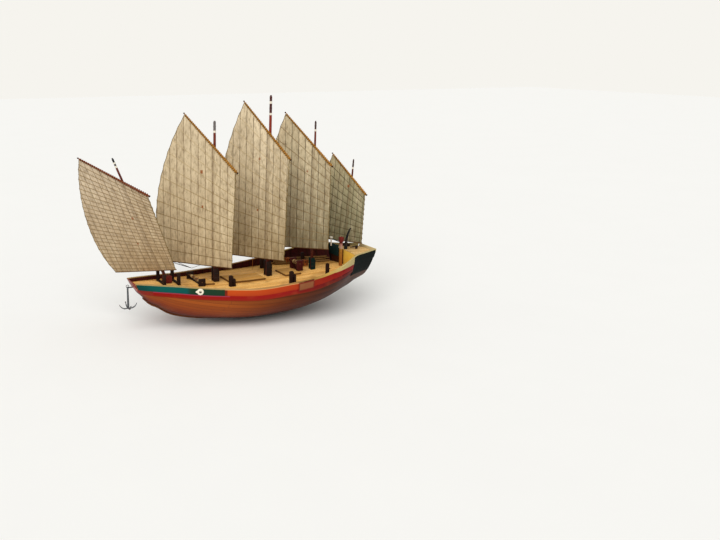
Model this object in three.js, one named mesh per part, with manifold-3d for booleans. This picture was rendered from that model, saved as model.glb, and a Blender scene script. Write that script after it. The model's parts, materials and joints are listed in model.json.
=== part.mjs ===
// Wooden display model, at 1:50, of a big five-masted junk with battened linen sails.
// Millimetres. +X is the bow, +Y is port, +Z is up. The origin is on the centreline
// amidships, at the waterline.
import * as THREE from 'three';
import { mergeVertices } from 'three/addons/utils/BufferGeometryUtils.js';
import Module from 'manifold-3d';

const wasm = await Module();
wasm.setup();

// Driving dimensions
const DRAUGHT = 160;          // waterline to the underside of the keel
const SEAT = 0.3;             // gap between pieces that rest on each other
const SAIL_ANGLE = 50;        // degrees from the centreline to every sail, at rest
const POOP_X = -537;          // break of the poop
const BULWARK = 5;            // thickness of the bulwark wall
const DECK_PLANK = 2.5;       // thickness of the deck planking
const CAP_HEIGHT = 3;
const CAP_WIDTH = 12;
const STRAKE_HEIGHT = 32;     // the painted upper strake
const STRAKE_THICK = 2.4;
const WALE_HEIGHT = 24;       // the heavy rubbing strake under it
const WALE_THICK = 4;
const CAMBER = 14;            // rise of the deck to the centreline at full beam
const FULL_BEAM = 250;
const FULLNESS = 1.75;        // how full the sections are at the turn of the bilge

// Hull stations, from the stern to the bow. beam is the half breadth at the rail, deck the
// top of the planks at the side, bilge the exponent of the side's curve.
const STATION_COLUMNS = ['x', 'beam', 'rail', 'deck', 'bottom', 'bilge'];
const STATIONS = [
  [-680, 80, 131, 117, -24, 1.8],
  [-640, 99, 131, 117, -34, 1.75],
  [-590, 123, 131, 117, -46, 1.7],
  [-515, 163, 132, 40, -73, 1.7],
  [-430, 220, 118, 32, -98, 1.8],
  [-350, 250, 97, 27, -118, 2.0],
  [-240, 261, 74, 23, -139, 2.2],
  [-100, 257, 57, 21, -149, 2.6],
  [60, 242, 46, 21.5, -149, 2.85],
  [200, 205, 52, 27, -137, 2.7],
  [330, 157, 60.5, 39, -118, 2.4],
  [430, 120, 71, 50, -88, 2.1],
  [500, 98, 77.5, 57, -50, 1.9],
  [560, 78, 83, 63, -24, 1.8],
  [610, 59, 87, 68, 26, 1.8],
];
const STERN_X = STATIONS[0][0];
const BOW_X = STATIONS[STATIONS.length - 1][0];

// A smooth curve through one column of the station table.
function along(name) {
  const column = STATION_COLUMNS.indexOf(name);
  const xs = STATIONS.map((row) => row[0]);
  const ys = STATIONS.map((row) => row[column]);
  const last = xs.length - 1;
  const slope = (i) => {
    const a = Math.max(0, i - 1);
    const b = Math.min(last, i + 1);
    return (ys[b] - ys[a]) / (xs[b] - xs[a]);
  };
  return (x) => {
    let i = 0;
    while (i < last - 1 && x > xs[i + 1]) i += 1;
    const span = xs[i + 1] - xs[i];
    const t = THREE.MathUtils.clamp((x - xs[i]) / span, 0, 1);
    const early = (1 + 2 * t) * (1 - t) ** 2 * ys[i] + t * (1 - t) ** 2 * span * slope(i);
    const late = t * t * (3 - 2 * t) * ys[i + 1] + t * t * (t - 1) * span * slope(i + 1);
    return early + late;
  };
}
const beam = along('beam');
const rail = along('rail');
const bottom = along('bottom');
const bilge = along('bilge');

// The ends rake: how far a station runs forward for each mm below the rail.
const STERN_RAKE = 0.25;
const BOW_RAKE = -0.45;
const BOW_RAKE_FROM = 400;
function lean(x) {
  if (x < POOP_X) return STERN_RAKE * ((POOP_X - x) / (POOP_X - STERN_X)) ** 1.2;
  if (x > BOW_RAKE_FROM) return BOW_RAKE * ((x - BOW_RAKE_FROM) / (BOW_X - BOW_RAKE_FROM)) ** 2;
  return 0;
}

// The main deck and the poop deck are two curves, so neither is smoothed over the break.
const MAIN_DECK_AT_BREAK = 40;
const POOP_BELOW_RAIL = 14;
const sheerOfDeck = along('deck');
function mainDeck(x) {
  const aft = STATIONS[4][0];
  if (x >= aft) return sheerOfDeck(x);
  const run = (aft - x) / (aft - POOP_X);
  return THREE.MathUtils.lerp(sheerOfDeck(aft), MAIN_DECK_AT_BREAK, run);
}
const poopDeck = (x) => rail(x) - POOP_BELOW_RAIL;

// Half breadth of the planked side at height z of station x.
function halfBreadth(x, z) {
  const drop = THREE.MathUtils.clamp((rail(x) - z) / (rail(x) - bottom(x)), 0, 1);
  return beam(x) * (1 - drop ** bilge(x)) ** (1 / FULLNESS);
}
// A point of station x at height z. It is y from the centreline, and the station leans.
const stationPoint = (x, y, z) => new THREE.Vector3(x + lean(x) * (rail(x) - z), y, z);
// A point on the planking, moved out by a distance, on port (side 1) or starboard (side -1).
const skinPoint = (x, z, out, side) => stationPoint(x, side * (halfBreadth(x, z) + out), z);

function range(from, to, count) {
  return Array.from({ length: count + 1 }, (_, i) => from + ((to - from) * i) / count);
}
// Angles all round a circle.
const circle = (count) => range(0, 2 * Math.PI, count).slice(0, -1);

// Twice the signed area of a ring of [a, b] pairs.
const doubleArea = (ring) => ring.reduce((sum, p, i) => {
  const q = ring[(i + 1) % ring.length];
  return sum + p.x * q.y - q.x * p.y;
}, 0);

// A closed body through rings of points that all run the same way round, capped at both
// ends. flat turns an end ring's point into the plane in which its cap is triangulated.
function loft(rings, flat = (p) => new THREE.Vector2(p.y, p.z)) {
  const count = rings[0].length;
  const positions = rings.flat().flatMap((p) => [p.x, p.y, p.z]);
  const index = [];
  for (let r = 0; r < rings.length - 1; r += 1) {
    for (let i = 0; i < count; i += 1) {
      const j = (i + 1) % count;
      const a = r * count + i;
      const b = r * count + j;
      index.push(a, b, b + count, a, b + count, a + count);
    }
  }
  const cap = (ring, base, turned) => {
    const outline = ring.map(flat);
    const forward = doubleArea(outline) > 0;
    const faces = THREE.ShapeUtils.triangulateShape(forward ? outline : [...outline].reverse(), []);
    for (const face of faces) {
      const corners = face.map((k) => base + (forward ? k : count - 1 - k));
      if (forward === turned) corners.reverse();
      index.push(...corners);
    }
  };
  cap(rings[0], 0, true);
  cap(rings[rings.length - 1], (rings.length - 1) * count, false);
  const geometry = new THREE.BufferGeometry();
  geometry.setAttribute('position', new THREE.Float32BufferAttribute(positions, 3));
  geometry.setIndex(index);
  return outward(geometry);
}

// Turns every face of a closed body over where they point inwards.
function outward(geometry) {
  const p = geometry.attributes.position;
  const index = geometry.index;
  const corner = [new THREE.Vector3(), new THREE.Vector3(), new THREE.Vector3()];
  let volume = 0;
  for (let i = 0; i < index.count; i += 3) {
    corner.forEach((v, k) => v.fromBufferAttribute(p, index.getX(i + k)));
    volume += corner[0].dot(corner[1].clone().cross(corner[2]));
  }
  if (volume > 0) return geometry;
  const turned = Array.from(index.array);
  for (let i = 0; i < turned.length; i += 3) [turned[i], turned[i + 1]] = [turned[i + 1], turned[i]];
  geometry.setIndex(turned);
  return geometry;
}

// The rings of a strip that starts and ends between hull stations. Its end rings lie on the
// straight lines between the rings of the stations, as the hull's own faces do.
function ringsBetween(xs, from, to, ringOf) {
  const between = (x) => {
    const next = xs.find((station) => station > x);
    const before = xs[xs.indexOf(next) - 1];
    const far = ringOf(next);
    return ringOf(before).map((p, i) => p.lerp(far[i], (x - before) / (next - before)));
  };
  const kept = xs.filter((x) => x > from + 1 && x < to - 1);
  return [between(from), ...kept.map((x) => ringOf(x)), between(to)];
}

// Booleans
function toSolid(geometry) {
  const bare = geometry.clone();
  bare.deleteAttribute('normal');
  bare.deleteAttribute('uv');
  const merged = mergeVertices(bare, 1e-3);
  return new wasm.Manifold(new wasm.Mesh({
    numProp: 3,
    vertProperties: new Float32Array(merged.attributes.position.array),
    triVerts: new Uint32Array(merged.index.array),
  }));
}
function toGeometry(solid) {
  const mesh = solid.getMesh();
  const geometry = new THREE.BufferGeometry();
  geometry.setAttribute('position', new THREE.BufferAttribute(new Float32Array(mesh.vertProperties), 3));
  geometry.setIndex(new THREE.BufferAttribute(new Uint32Array(mesh.triVerts), 1));
  return geometry;
}
const fuse = (...parts) => toGeometry(parts.map(toSolid).reduce((a, b) => a.add(b)));
const cut = (body, ...tools) => toGeometry(tools.map(toSolid).reduce((a, b) => a.subtract(b), toSolid(body)));

// Plain shapes at their places
function box(x0, x1, y0, y1, z0, z1) {
  const geometry = new THREE.BoxGeometry(x1 - x0, y1 - y0, z1 - z0);
  return geometry.translate((x0 + x1) / 2, (y0 + y1) / 2, (z0 + z1) / 2);
}
// A round rod between two points, tapering from one radius to another.
function rod(from, to, radiusFrom, radiusTo = radiusFrom, sides = 10) {
  const length = from.distanceTo(to);
  const geometry = new THREE.CylinderGeometry(radiusTo, radiusFrom, length, sides);
  const turn = new THREE.Quaternion().setFromUnitVectors(
    new THREE.Vector3(0, 1, 0), to.clone().sub(from).normalize());
  geometry.applyQuaternion(turn);
  const middle = from.clone().add(to).multiplyScalar(0.5);
  return geometry.translate(middle.x, middle.y, middle.z);
}
// A solid of revolution about Z from [radius, height] pairs that start and end on the axis.
function turned(profile, sides = 12) {
  const geometry = new THREE.LatheGeometry(profile.map(([r, h]) => new THREE.Vector2(r, h)), sides);
  return geometry.rotateX(Math.PI / 2);
}

const ship = new THREE.Group();
function add(parent, name, geometry, colour, roughness = 0.6, metalness = 0) {
  const material = new THREE.MeshStandardMaterial({ color: colour, roughness, metalness });
  const mesh = new THREE.Mesh(geometry, material);
  mesh.name = name;
  parent.add(mesh);
  return mesh;
}

const WOOD_VARNISHED = 0xa0602c;
const WOOD_DECK = 0xc79b56;
const WOOD_PALE = 0xe0bd84;
const WOOD_DARK = 0x3a2a26;
const PAINT_RED = 0xb4301f;
const PAINT_CRIMSON = 0x9c2030;
const PAINT_TEAL = 0x157a74;
const PAINT_DARK_TEAL = 0x10302e;
const PAINT_MAROON = 0x6d2226;
const LINEN = 0xb5a27c;
const IRON = 0x3c4042;

// Hull body: the planked hull up to the underside of the deck planks, with the poop's body
// standing on it aft and the rudder well cut up into the counter.
const FLAT_EDGE = 8;          // width of the flat under the bulwark
const WELL = { front: -560, half: 24, top: 84 };
const SIDE_STEPS = 9;
const DECK_STEPS = 4;

// The deck's line across a station: a curve of camber, then a flat that ends at the edge.
function deckLine(x, topOf, edge, drop) {
  const under = topOf(x) - DECK_PLANK - SEAT;
  const inner = Math.max(3, halfBreadth(x, under) - FLAT_EDGE);
  const rise = (CAMBER * beam(x)) / FULL_BEAM;
  const curve = range(0, 1, DECK_STEPS)
    .map((t) => stationPoint(x, inner * t, topOf(x) - drop + rise * (1 - t * t)));
  return [...curve, stationPoint(x, edge, topOf(x) - drop)];
}
const mirrored = (points) => points.map((p) => new THREE.Vector3(p.x, -p.y, p.z)).reverse();
// A line from the centreline to port, carried on from starboard to port.
const across = (line) => [...mirrored(line).slice(0, -1), ...line];

function hullRing(x, topOf) {
  const top = topOf(x) - DECK_PLANK - SEAT;
  const line = deckLine(x, topOf, halfBreadth(x, top), DECK_PLANK + SEAT);
  const depth = rail(x) - bottom(x);
  const start = Math.asin(Math.min(1, ((rail(x) - top) / depth) ** (bilge(x) / 2)));
  const side = range(start, Math.PI / 2, SIDE_STEPS).slice(1).map((angle) => {
    const z = rail(x) - depth * Math.sin(angle) ** (2 / bilge(x));
    return stationPoint(x, beam(x) * Math.max(0, Math.cos(angle)) ** (2 / FULLNESS), z);
  });
  const half = [...line, ...side];
  half[half.length - 1].y = 0;
  return [...half, ...mirrored(half.slice(1, -1))];
}
const BOW_FROM = 378;         // forward of this the stations stand closer
const MAIN_XS = [...range(POOP_X, BOW_FROM, 20), ...range(BOW_FROM, BOW_X, 10).slice(1)];
const STERN_XS = range(STERN_X, POOP_X, 5);
const ALL_XS = [...STERN_XS, ...MAIN_XS.slice(1)];
const mainHull = loft(MAIN_XS.map((x) => hullRing(x, mainDeck)));
const sternHull = loft(STERN_XS.map((x) => hullRing(x, poopDeck)));
const well = box(STERN_X - 20, WELL.front, -WELL.half, WELL.half, -DRAUGHT, WELL.top);

// The rudder stock's line rakes as the sternpost does. height is where it leaves the deck.
const STOCK = { x: -612, z: 130, radius: 6, play: 1 };
const stockPoint = (z) => new THREE.Vector3(STOCK.x + STERN_RAKE * (STOCK.z - z), 0, z);
const stockHole = rod(stockPoint(WELL.top - 30), stockPoint(STOCK.z + 30), STOCK.radius + STOCK.play);
add(ship, 'hull_body', cut(fuse(mainHull, sternHull), well, stockHole), WOOD_VARNISHED, 0.35);

// Keel: a plank on edge under the hull, flat under amidships, rising with the bottom to the
// bow transom and to the front of the rudder well.
const KEEL = { half: 7, drop: 9, flatFrom: -180, flatTo: 60, fore: 22 };
function keelRing(x) {
  const top = stationPoint(x, 0, bottom(x));
  const flat = x > KEEL.flatFrom && x < KEEL.flatTo;
  const z = flat ? -DRAUGHT : Math.max(-DRAUGHT, top.z - KEEL.drop);
  const corner = (side, height) => new THREE.Vector3(top.x, side * KEEL.half, height);
  return [corner(1, top.z - SEAT), corner(1, z), corner(-1, z), corner(-1, top.z - SEAT)];
}
const keelXs = MAIN_XS.filter((x) => x < BOW_X - KEEL.fore);
add(ship, 'keel', loft(keelXs.map(keelRing)), 0x7a4522, 0.4);

// Main deck: planking with the raised hatch panels and the belaying bitts let into it.
const HATCHES = [
  // x centre, length, half width, height
  [237, 48, 62, 7],
  [40, 190, 66, 8],
  [-212, 90, 58, 8],
];
const BITTS = [
  // x, y, height, thickness, posts: one bitt on each side
  [149, 106, 54, 18, 2],
  [-145, 165, 62, 18, 2],
  [-364, 131, 64, 15, 1],
];
function deckHeight(x, y, topOf = mainDeck) {
  const inner = Math.max(3, halfBreadth(x, topOf(x) - DECK_PLANK - SEAT) - FLAT_EDGE);
  const rise = (CAMBER * beam(x)) / FULL_BEAM;
  return topOf(x) + rise * Math.max(0, 1 - (y / inner) ** 2);
}
// The height at which a flat foot clears the deck all over.
function restOn(x0, x1, y0, y1, topOf = mainDeck) {
  const heights = range(x0, x1, 4).flatMap((x) => range(y0, y1, 4).map((y) => deckHeight(x, y, topOf)));
  return Math.max(...heights) + SEAT + 0.1;
}
const DECK_MARGIN = BULWARK + SEAT + 0.8;
function deckRing(x, topOf) {
  const edge = halfBreadth(x, topOf(x) - DECK_PLANK) - DECK_MARGIN;
  const above = across(deckLine(x, topOf, edge, 0));
  const under = across(deckLine(x, topOf, edge, DECK_PLANK));
  return [...above, ...under.reverse()];
}
const SINK = 1.5;             // how far a fitting that is fused to the deck is let into it
const mainPlanks = loft(ringsBetween(MAIN_XS, POOP_X + 5, BOW_X - 0.5, (x) => deckRing(x, mainDeck)));
// A raised panel whose foot follows the deck and whose top is level across.
function panelRing(x, half, height) {
  const foot = range(-half, half, 4).map((y) => stationPoint(x, y, deckHeight(x, y) - SINK));
  const top = deckHeight(x, 0) + height;
  return [...foot, stationPoint(x, half, top), stationPoint(x, -half, top)];
}
const hatchPanels = HATCHES.map(([x, length, half, height]) => loft(
  range(x - length / 2, x + length / 2, 3).map((at) => panelRing(at, half, height))));
const bittPosts = BITTS.flatMap(([x, y, height, thick, posts]) => [1, -1].flatMap((side) => {
  const foot = deckHeight(x, y) - SINK;
  const head = foot + height;
  const post = (dx) => box(x + dx - thick / 2, x + dx + thick / 2,
    side * y - thick / 2, side * y + thick / 2, foot, head - (dx < 0 ? 16 : 0));
  return [post(0), post(-thick * 0.7)].slice(0, posts);
}));
add(ship, 'main_deck', fuse(mainPlanks, ...hatchPanels, ...bittPosts), WOOD_DECK);

// Poop deck and the planked bulkhead under its front edge.
const poopPlanks = loft(ringsBetween(
  [...STERN_XS, MAIN_XS[1]], STERN_X + 4, POOP_X + 4, (x) => deckRing(x, poopDeck)));
add(ship, 'poop_deck', cut(poopPlanks, stockHole), WOOD_DECK);
const BULKHEAD_THICK = 4;
function bulkheadRing(x) {
  const half = halfBreadth(POOP_X, mainDeck(POOP_X)) - BULWARK - 2;
  const line = range(-half, half, 2 * DECK_STEPS);
  const under = DECK_PLANK + SEAT * 2;
  const foot = line.map((y) => new THREE.Vector3(x, y, deckHeight(x, y) - DECK_PLANK + SEAT));
  const head = line.map((y) => new THREE.Vector3(x, y, deckHeight(x, y, poopDeck) - under));
  return [...foot, ...head.reverse()];
}
add(ship, 'poop_bulkhead', loft([POOP_X + SEAT, POOP_X + BULKHEAD_THICK].map(bulkheadRing)), 0xd9a441);

// Pieces that follow the side: a strip between two heights below the rail and two distances
// out from the planking, on port (side 1) or starboard (side -1).
function sideRing(x, side, high, low, inner, outer, rows = 2) {
  const heights = range(high(x), low(x), rows);
  const face = heights.map((z) => skinPoint(x, z, outer, side));
  const back = heights.map((z) => skinPoint(x, z, inner, side));
  return [...face, ...back.reverse()];
}
const sideStrip = (xs, from, to, ...shape) => loft(
  ringsBetween(xs, from, to, (x) => sideRing(x, ...shape)));
const below = (distance) => (x) => rail(x) - distance;

// Aft, the painted strakes leave the rail: rows of station, fall of the strake's top edge and
// fall of the wale's lower edge. A pale wash strake fills the space under the cap rail.
const STRAKE_FALL = [[-491, 36, 24], [-455, 29, 18], [-330, 8, 6], [-225, 6, 6], [-100, 0, 0]];
function fall(x, column) {
  const next = STRAKE_FALL.findIndex((row) => row[0] >= x);
  if (next < 0) return 0;
  if (next === 0) return STRAKE_FALL[0][column];
  const [a, b] = [STRAKE_FALL[next - 1], STRAKE_FALL[next]];
  return THREE.MathUtils.lerp(a[column], b[column], (x - a[0]) / (b[0] - a[0]));
}
const middleFall = (x) => (fall(x, 1) + fall(x, 2)) / 2;

const PANEL_AFT = 222;        // where the teal bow panel meets the red strake
const QUARTER_X = MAIN_XS[1]; // where the red strake and the wale end at the quarter panel
const PANEL_FORE = BOW_X - 2;
const WALE_FORE = MAIN_XS.at(-4);
const SIDES = [['port', 1], ['starboard', -1]];
const capUnder = below(CAP_HEIGHT + SEAT);
const strakeHigh = (x) => capUnder(x) - fall(x, 1);
const strakeLow = (x) => rail(x) - CAP_HEIGHT - STRAKE_HEIGHT - middleFall(x);
const waleHigh = (x) => strakeLow(x) - SEAT;
const waleLow = (x) => rail(x) - CAP_HEIGHT - STRAKE_HEIGHT - WALE_HEIGHT - fall(x, 2);
const WASH = { fore: -215, lap: 0.5 };
const QUARTER_HEIGHT = 108;
const EYE = { x: 328, radius: 15.5, out: 3 };
const BOARD = { fore: -133, aft: -215, high: 5, low: 46, thick: 3 };

// The outward direction of the planking at a point.
function skinNormal(x, z, side) {
  const forward = skinPoint(x + 1, z, 0, side).sub(skinPoint(x - 1, z, 0, side));
  const up = skinPoint(x, z + 1, 0, side).sub(skinPoint(x, z - 1, 0, side));
  return up.cross(forward).multiplyScalar(side).normalize();
}

for (const [name, side] of SIDES) {
  const onDeck = (x) => mainDeck(x) - DECK_PLANK;
  add(ship, `bulwark_${name}`,
    sideStrip(MAIN_XS, POOP_X + 5, BOW_X - 1, side, capUnder, onDeck, -BULWARK, -SEAT / 3), PAINT_MAROON);

  const strakeBack = 0.9;
  const strakeFace = strakeBack + STRAKE_THICK;
  const strake = sideStrip(MAIN_XS, QUARTER_X + SEAT, PANEL_AFT - SEAT,
    side, strakeHigh, strakeLow, strakeBack, strakeFace);
  add(ship, `upper_strake_${name}`, strake, PAINT_RED, 0.4);

  const waleFace = strakeBack + WALE_THICK;
  const boardBack = waleFace + 2 * SEAT;
  const board = sideStrip(MAIN_XS, BOARD.aft, BOARD.fore, side,
    below(BOARD.high), below(BOARD.low), boardBack, boardBack + BOARD.thick, 4);
  add(ship, `name_board_${name}`, board, PAINT_MAROON);

  const panel = sideStrip(MAIN_XS, PANEL_AFT, PANEL_FORE,
    side, capUnder, strakeLow, strakeBack, strakeFace, 5);
  const eyeHeight = rail(EYE.x) - CAP_HEIGHT - STRAKE_HEIGHT / 2;
  const eyeInner = skinPoint(EYE.x, eyeHeight, strakeFace - 1, side);
  const normal = skinNormal(EYE.x, eyeHeight, side);
  const eyeOuter = eyeInner.clone().addScaledVector(normal, EYE.out + 1);
  const eye = rod(eyeInner, eyeOuter, EYE.radius, EYE.radius - 2, 20);
  add(ship, `bow_panel_${name}`, fuse(panel, eye), PAINT_TEAL, 0.4);

  add(ship, `wale_${name}`, sideStrip(MAIN_XS, QUARTER_X + SEAT, WALE_FORE,
    side, waleHigh, waleLow, strakeBack, waleFace, 4), PAINT_CRIMSON, 0.4);

  const cap = sideStrip(ALL_XS, STERN_X + 3, BOW_X - 1,
    side, (x) => rail(x), below(CAP_HEIGHT), -CAP_WIDTH + WALE_THICK, WALE_THICK);
  const poopWall = sideStrip(STERN_XS, STERN_X + 3, POOP_X - 1, side,
    (x) => rail(x) - 1, (x) => poopDeck(x) - DECK_PLANK, -BULWARK, -SEAT / 3);
  const wash = sideStrip(MAIN_XS, QUARTER_X + SEAT, WASH.fore, side,
    below(CAP_HEIGHT - WASH.lap), (x) => strakeHigh(x) + SEAT, strakeBack, strakeFace);
  add(ship, `cap_rail_${name}`, fuse(cap, poopWall, wash), WOOD_PALE);

  const quarter = sideStrip(ALL_XS, STERN_X + 3, QUARTER_X, side,
    capUnder, below(QUARTER_HEIGHT), strakeBack, strakeFace, 9);
  add(ship, `quarter_panel_${name}`, quarter, PAINT_DARK_TEAL, 0.4);
}

// Bow and stern transoms: boards across the two ends, leaning as the end stations do.
const BOARD_THICK = 4;
function endBoard(x, high, low, out) {
  const rows = range(high, low, 4);
  const ring = (shift) => {
    const port = rows.map((z) => stationPoint(x, halfBreadth(x, z), z));
    return [...port, ...mirrored(port)].map((p) => p.setX(p.x + shift));
  };
  return loft([ring(Math.sign(out) * SEAT), ring(out)]);
}
const BOW_BOARD_LOW = 46;
add(ship, 'bow_transom', endBoard(BOW_X, rail(BOW_X), BOW_BOARD_LOW, BOARD_THICK), PAINT_MAROON);
add(ship, 'stern_transom', endBoard(STERN_X, rail(STERN_X), WELL.top + 2, -BOARD_THICK), PAINT_DARK_TEAL);

// Board across the starboard half of the poop's front.
const SCREEN = { inner: 45, low: 80, high: 138 };
const screenBack = POOP_X + BULKHEAD_THICK + SEAT;
const screenSide = halfBreadth(POOP_X + 8, SCREEN.low) - BULWARK - 2;
add(ship, 'poop_screen', box(screenBack, screenBack + BOARD_THICK,
  -screenSide, -SCREEN.inner, SCREEN.low, SCREEN.high), PAINT_DARK_TEAL);

// Masts. z is where the sail's own heights start, rake is degrees forward, length runs from z.
const MAST_COLUMNS = ['x', 'y', 'z', 'rake', 'length', 'foot', 'top'];
const MASTS = [
  [429, 0, 56, 22.3, 653, 8, 4.5],
  [188, 0, 38, -0.5, 769, 9, 6],
  [-96, 0, 35, -0.9, 882, 10, 6],
  [-347, 0, 41, -0.6, 748, 8, 4.5],
  [-590, -70, 112, -3.9, 469, 7, 4],
].map((row) => Object.fromEntries(MAST_COLUMNS.map((name, i) => [name, row[i]])));

// Each sail hangs on the port side of its mast. Its plane holds the mast: u runs along the
// sail from the mast towards the peak, w up the mast. upper and lower steer the round leech.
const SAILS = [
  { peak: [164, 686], throat: [-108, 448], tack: [-86, 70], clew: [250, 106],
    upper: [272, 520], lower: [330, 270], battens: 12 },
  { peak: [151, 791], throat: [-119, 536], tack: [-99, 78], clew: [277, 78],
    upper: [300, 560], lower: [362, 260], battens: 11 },
  { peak: [132, 842], throat: [-109, 586], tack: [-95, 88], clew: [235, 91],
    upper: [255, 600], lower: [310, 280], battens: 11 },
  { peak: [154, 775], throat: [-92, 533], tack: [-92, 115], clew: [215, 104],
    upper: [250, 560], lower: [285, 280], battens: 10 },
  { peak: [111, 482], throat: [-83, 295], tack: [-88, 42], clew: [140, 40],
    upper: [165, 340], lower: [185, 160], battens: 9 },
];
const CLOTH = 2;
const BATTEN = { width: 4, thick: 3, tip: 3, over: 0.5 };
const BOOM = 6;
const YARD = { radius: 4, over: 8, tip: 2.5 };
const PARREL = { play: 0.6, wall: 2.8, height: 5, strip: 5, count: 5, sides: 8 };
const MAST_SIDES = 12;
const FLAT_TO_CORNER = 1 / Math.cos(Math.PI / MAST_SIDES);
const TRUCK = 10;             // height of the rounded top

// Tabernacles: two cheeks and a back board that hold a mast's foot.
const TABERNACLES = [
  null,
  // length along the ship, cheek thickness, height, colour
  [24, 5, 64, WOOD_DARK],
  [24, 6, 74, WOOD_DARK],
  [20, 4, 60, PAINT_DARK_TEAL],
  [24, 5, 15, WOOD_DARK],
];
const CHEEK_PLAY = 1.5;
const BACK_BOARD = 5;

const swing = new THREE.Quaternion()
  .setFromAxisAngle(new THREE.Vector3(0, 0, 1), -THREE.MathUtils.degToRad(SAIL_ANGLE));

MASTS.forEach((mast, i) => {
  const number = i + 1;
  const deck = mast.x < POOP_X ? poopDeck : mainDeck;
  const under = mast.foot * 0.6;
  const deckTop = restOn(mast.x - under, mast.x + under, mast.y - under, mast.y + under, deck);
  const rake = THREE.MathUtils.degToRad(mast.rake);
  const heel = (deckTop - mast.z + mast.foot * Math.sin(Math.abs(rake))) / Math.cos(rake);
  const taper = (w) => THREE.MathUtils.lerp(mast.foot, mast.top, (w - heel) / (mast.length - heel));
  const shoulder = mast.length - TRUCK;
  const stick = new THREE.Group();
  stick.position.set(mast.x, mast.y, mast.z);
  stick.rotation.set(0, rake, 0);
  ship.add(stick);
  const profile = [[0, heel], [mast.foot, heel], [taper(shoulder), shoulder],
    [mast.top - 1.5, shoulder + 1], [mast.top - 1, mast.length - 2], [0, mast.length]];
  add(stick, `mast_${number}`, turned(profile, MAST_SIDES), i === 1 ? 0x6b6460 : PAINT_MAROON);

  if (TABERNACLES[i]) {
    const [length, cheek, height, colour] = TABERNACLES[i];
    const gap = mast.foot * FLAT_TO_CORNER + CHEEK_PLAY;
    const reach = gap + cheek;
    const low = restOn(mast.x - length / 2 - BACK_BOARD, mast.x + length / 2,
      mast.y - reach, mast.y + reach, deck);
    const sides = [1, -1].map((side) => box(mast.x - length / 2, mast.x + length / 2,
      mast.y + side * gap - (side < 0 ? cheek : 0), mast.y + side * gap + (side > 0 ? cheek : 0),
      low, low + height));
    const back = box(mast.x - length / 2 - BACK_BOARD, mast.x - length / 2 + 0.5,
      mast.y - gap - cheek, mast.y + gap + cheek, low, low + height * 0.8);
    add(ship, `tabernacle_${number}`, fuse(...sides, back), colour);
  }

  const sail = SAILS[i];
  const out = mast.foot + 7;
  const rig = new THREE.Group();
  rig.position.copy(stick.position);
  rig.quaternion.setFromAxisAngle(new THREE.Vector3(0, 1, 0), rake).multiply(swing);
  ship.add(rig);
  add(rig, `sail_${number}`, sailPanel(sail, out), LINEN, 0.9);
  add(rig, `yard_${number}`, yardSpar(sail, out), 0xa35f28);
  add(rig, `parrel_${number}`, parrelRings(sail, mast, out), WOOD_DARK);
});

// A sail's panel: the cloth with its battens and its boom fused to its port face.
function sailPanel(sail, out) {
  const [peak, throat, tack, clew] = ['peak', 'throat', 'tack', 'clew']
    .map((corner) => new THREE.Vector2(...sail[corner]));
  const leech = new THREE.CubicBezierCurve(
    peak, new THREE.Vector2(...sail.upper), new THREE.Vector2(...sail.lower), clew);
  const outline = new THREE.Shape();
  outline.moveTo(...sail.tack).lineTo(...sail.throat).lineTo(...sail.peak);
  outline.bezierCurveTo(...sail.upper, ...sail.lower, ...sail.clew).closePath();
  const upright = (geometry, from) => geometry.rotateX(Math.PI / 2).translate(0, from, 0);
  const extrude = (shape, depth, from) => upright(
    new THREE.ExtrudeGeometry(shape, { depth, bevelEnabled: false, curveSegments: 12 }), from + depth);
  const cloth = extrude(outline, CLOTH, out - CLOTH / 2);

  const bar = (a, b, width, tip, thick, from) => {
    const way = b.clone().sub(a).normalize();
    const side = new THREE.Vector2(-way.y, way.x).multiplyScalar(width / 2);
    const start = a.clone().addScaledVector(way, -tip);
    const end = b.clone().addScaledVector(way, tip);
    const shape = new THREE.Shape([start.clone().add(side), end.clone().add(side),
      end.clone().sub(side), start.clone().sub(side)]);
    return extrude(shape, thick, from);
  };
  const leechAt = (w) => {
    const points = leech.getPoints(60);
    const k = points.findIndex((p) => p.y <= w);
    const before = points[k - 1];
    return before.clone().lerp(points[k], (before.y - w) / (before.y - points[k].y));
  };
  const bars = range(0, 1, sail.battens + 1).slice(1, -1).map((t) => {
    const luff = tack.clone().lerp(throat, t);
    const height = THREE.MathUtils.lerp(clew.y, peak.y, t);
    return bar(leechAt(height), luff, BATTEN.width, BATTEN.tip, BATTEN.thick, out + BATTEN.over);
  });
  const boom = bar(clew, tack, BOOM, BATTEN.tip, BOOM, out - BOOM / 2);
  return fuse(cloth, boom, ...bars);
}

function yardSpar(sail, out) {
  const peak = new THREE.Vector3(sail.peak[0], out, sail.peak[1]);
  const throat = new THREE.Vector3(sail.throat[0], out, sail.throat[1]);
  const way = peak.clone().sub(throat).normalize();
  const above = new THREE.Vector3(-way.z, 0, way.x).multiplyScalar(YARD.radius + SEAT);
  const a = throat.add(above).addScaledVector(way, -YARD.over);
  const b = peak.add(above).addScaledVector(way, YARD.over);
  return rod(a, b, YARD.radius, YARD.tip, 8);
}

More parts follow.
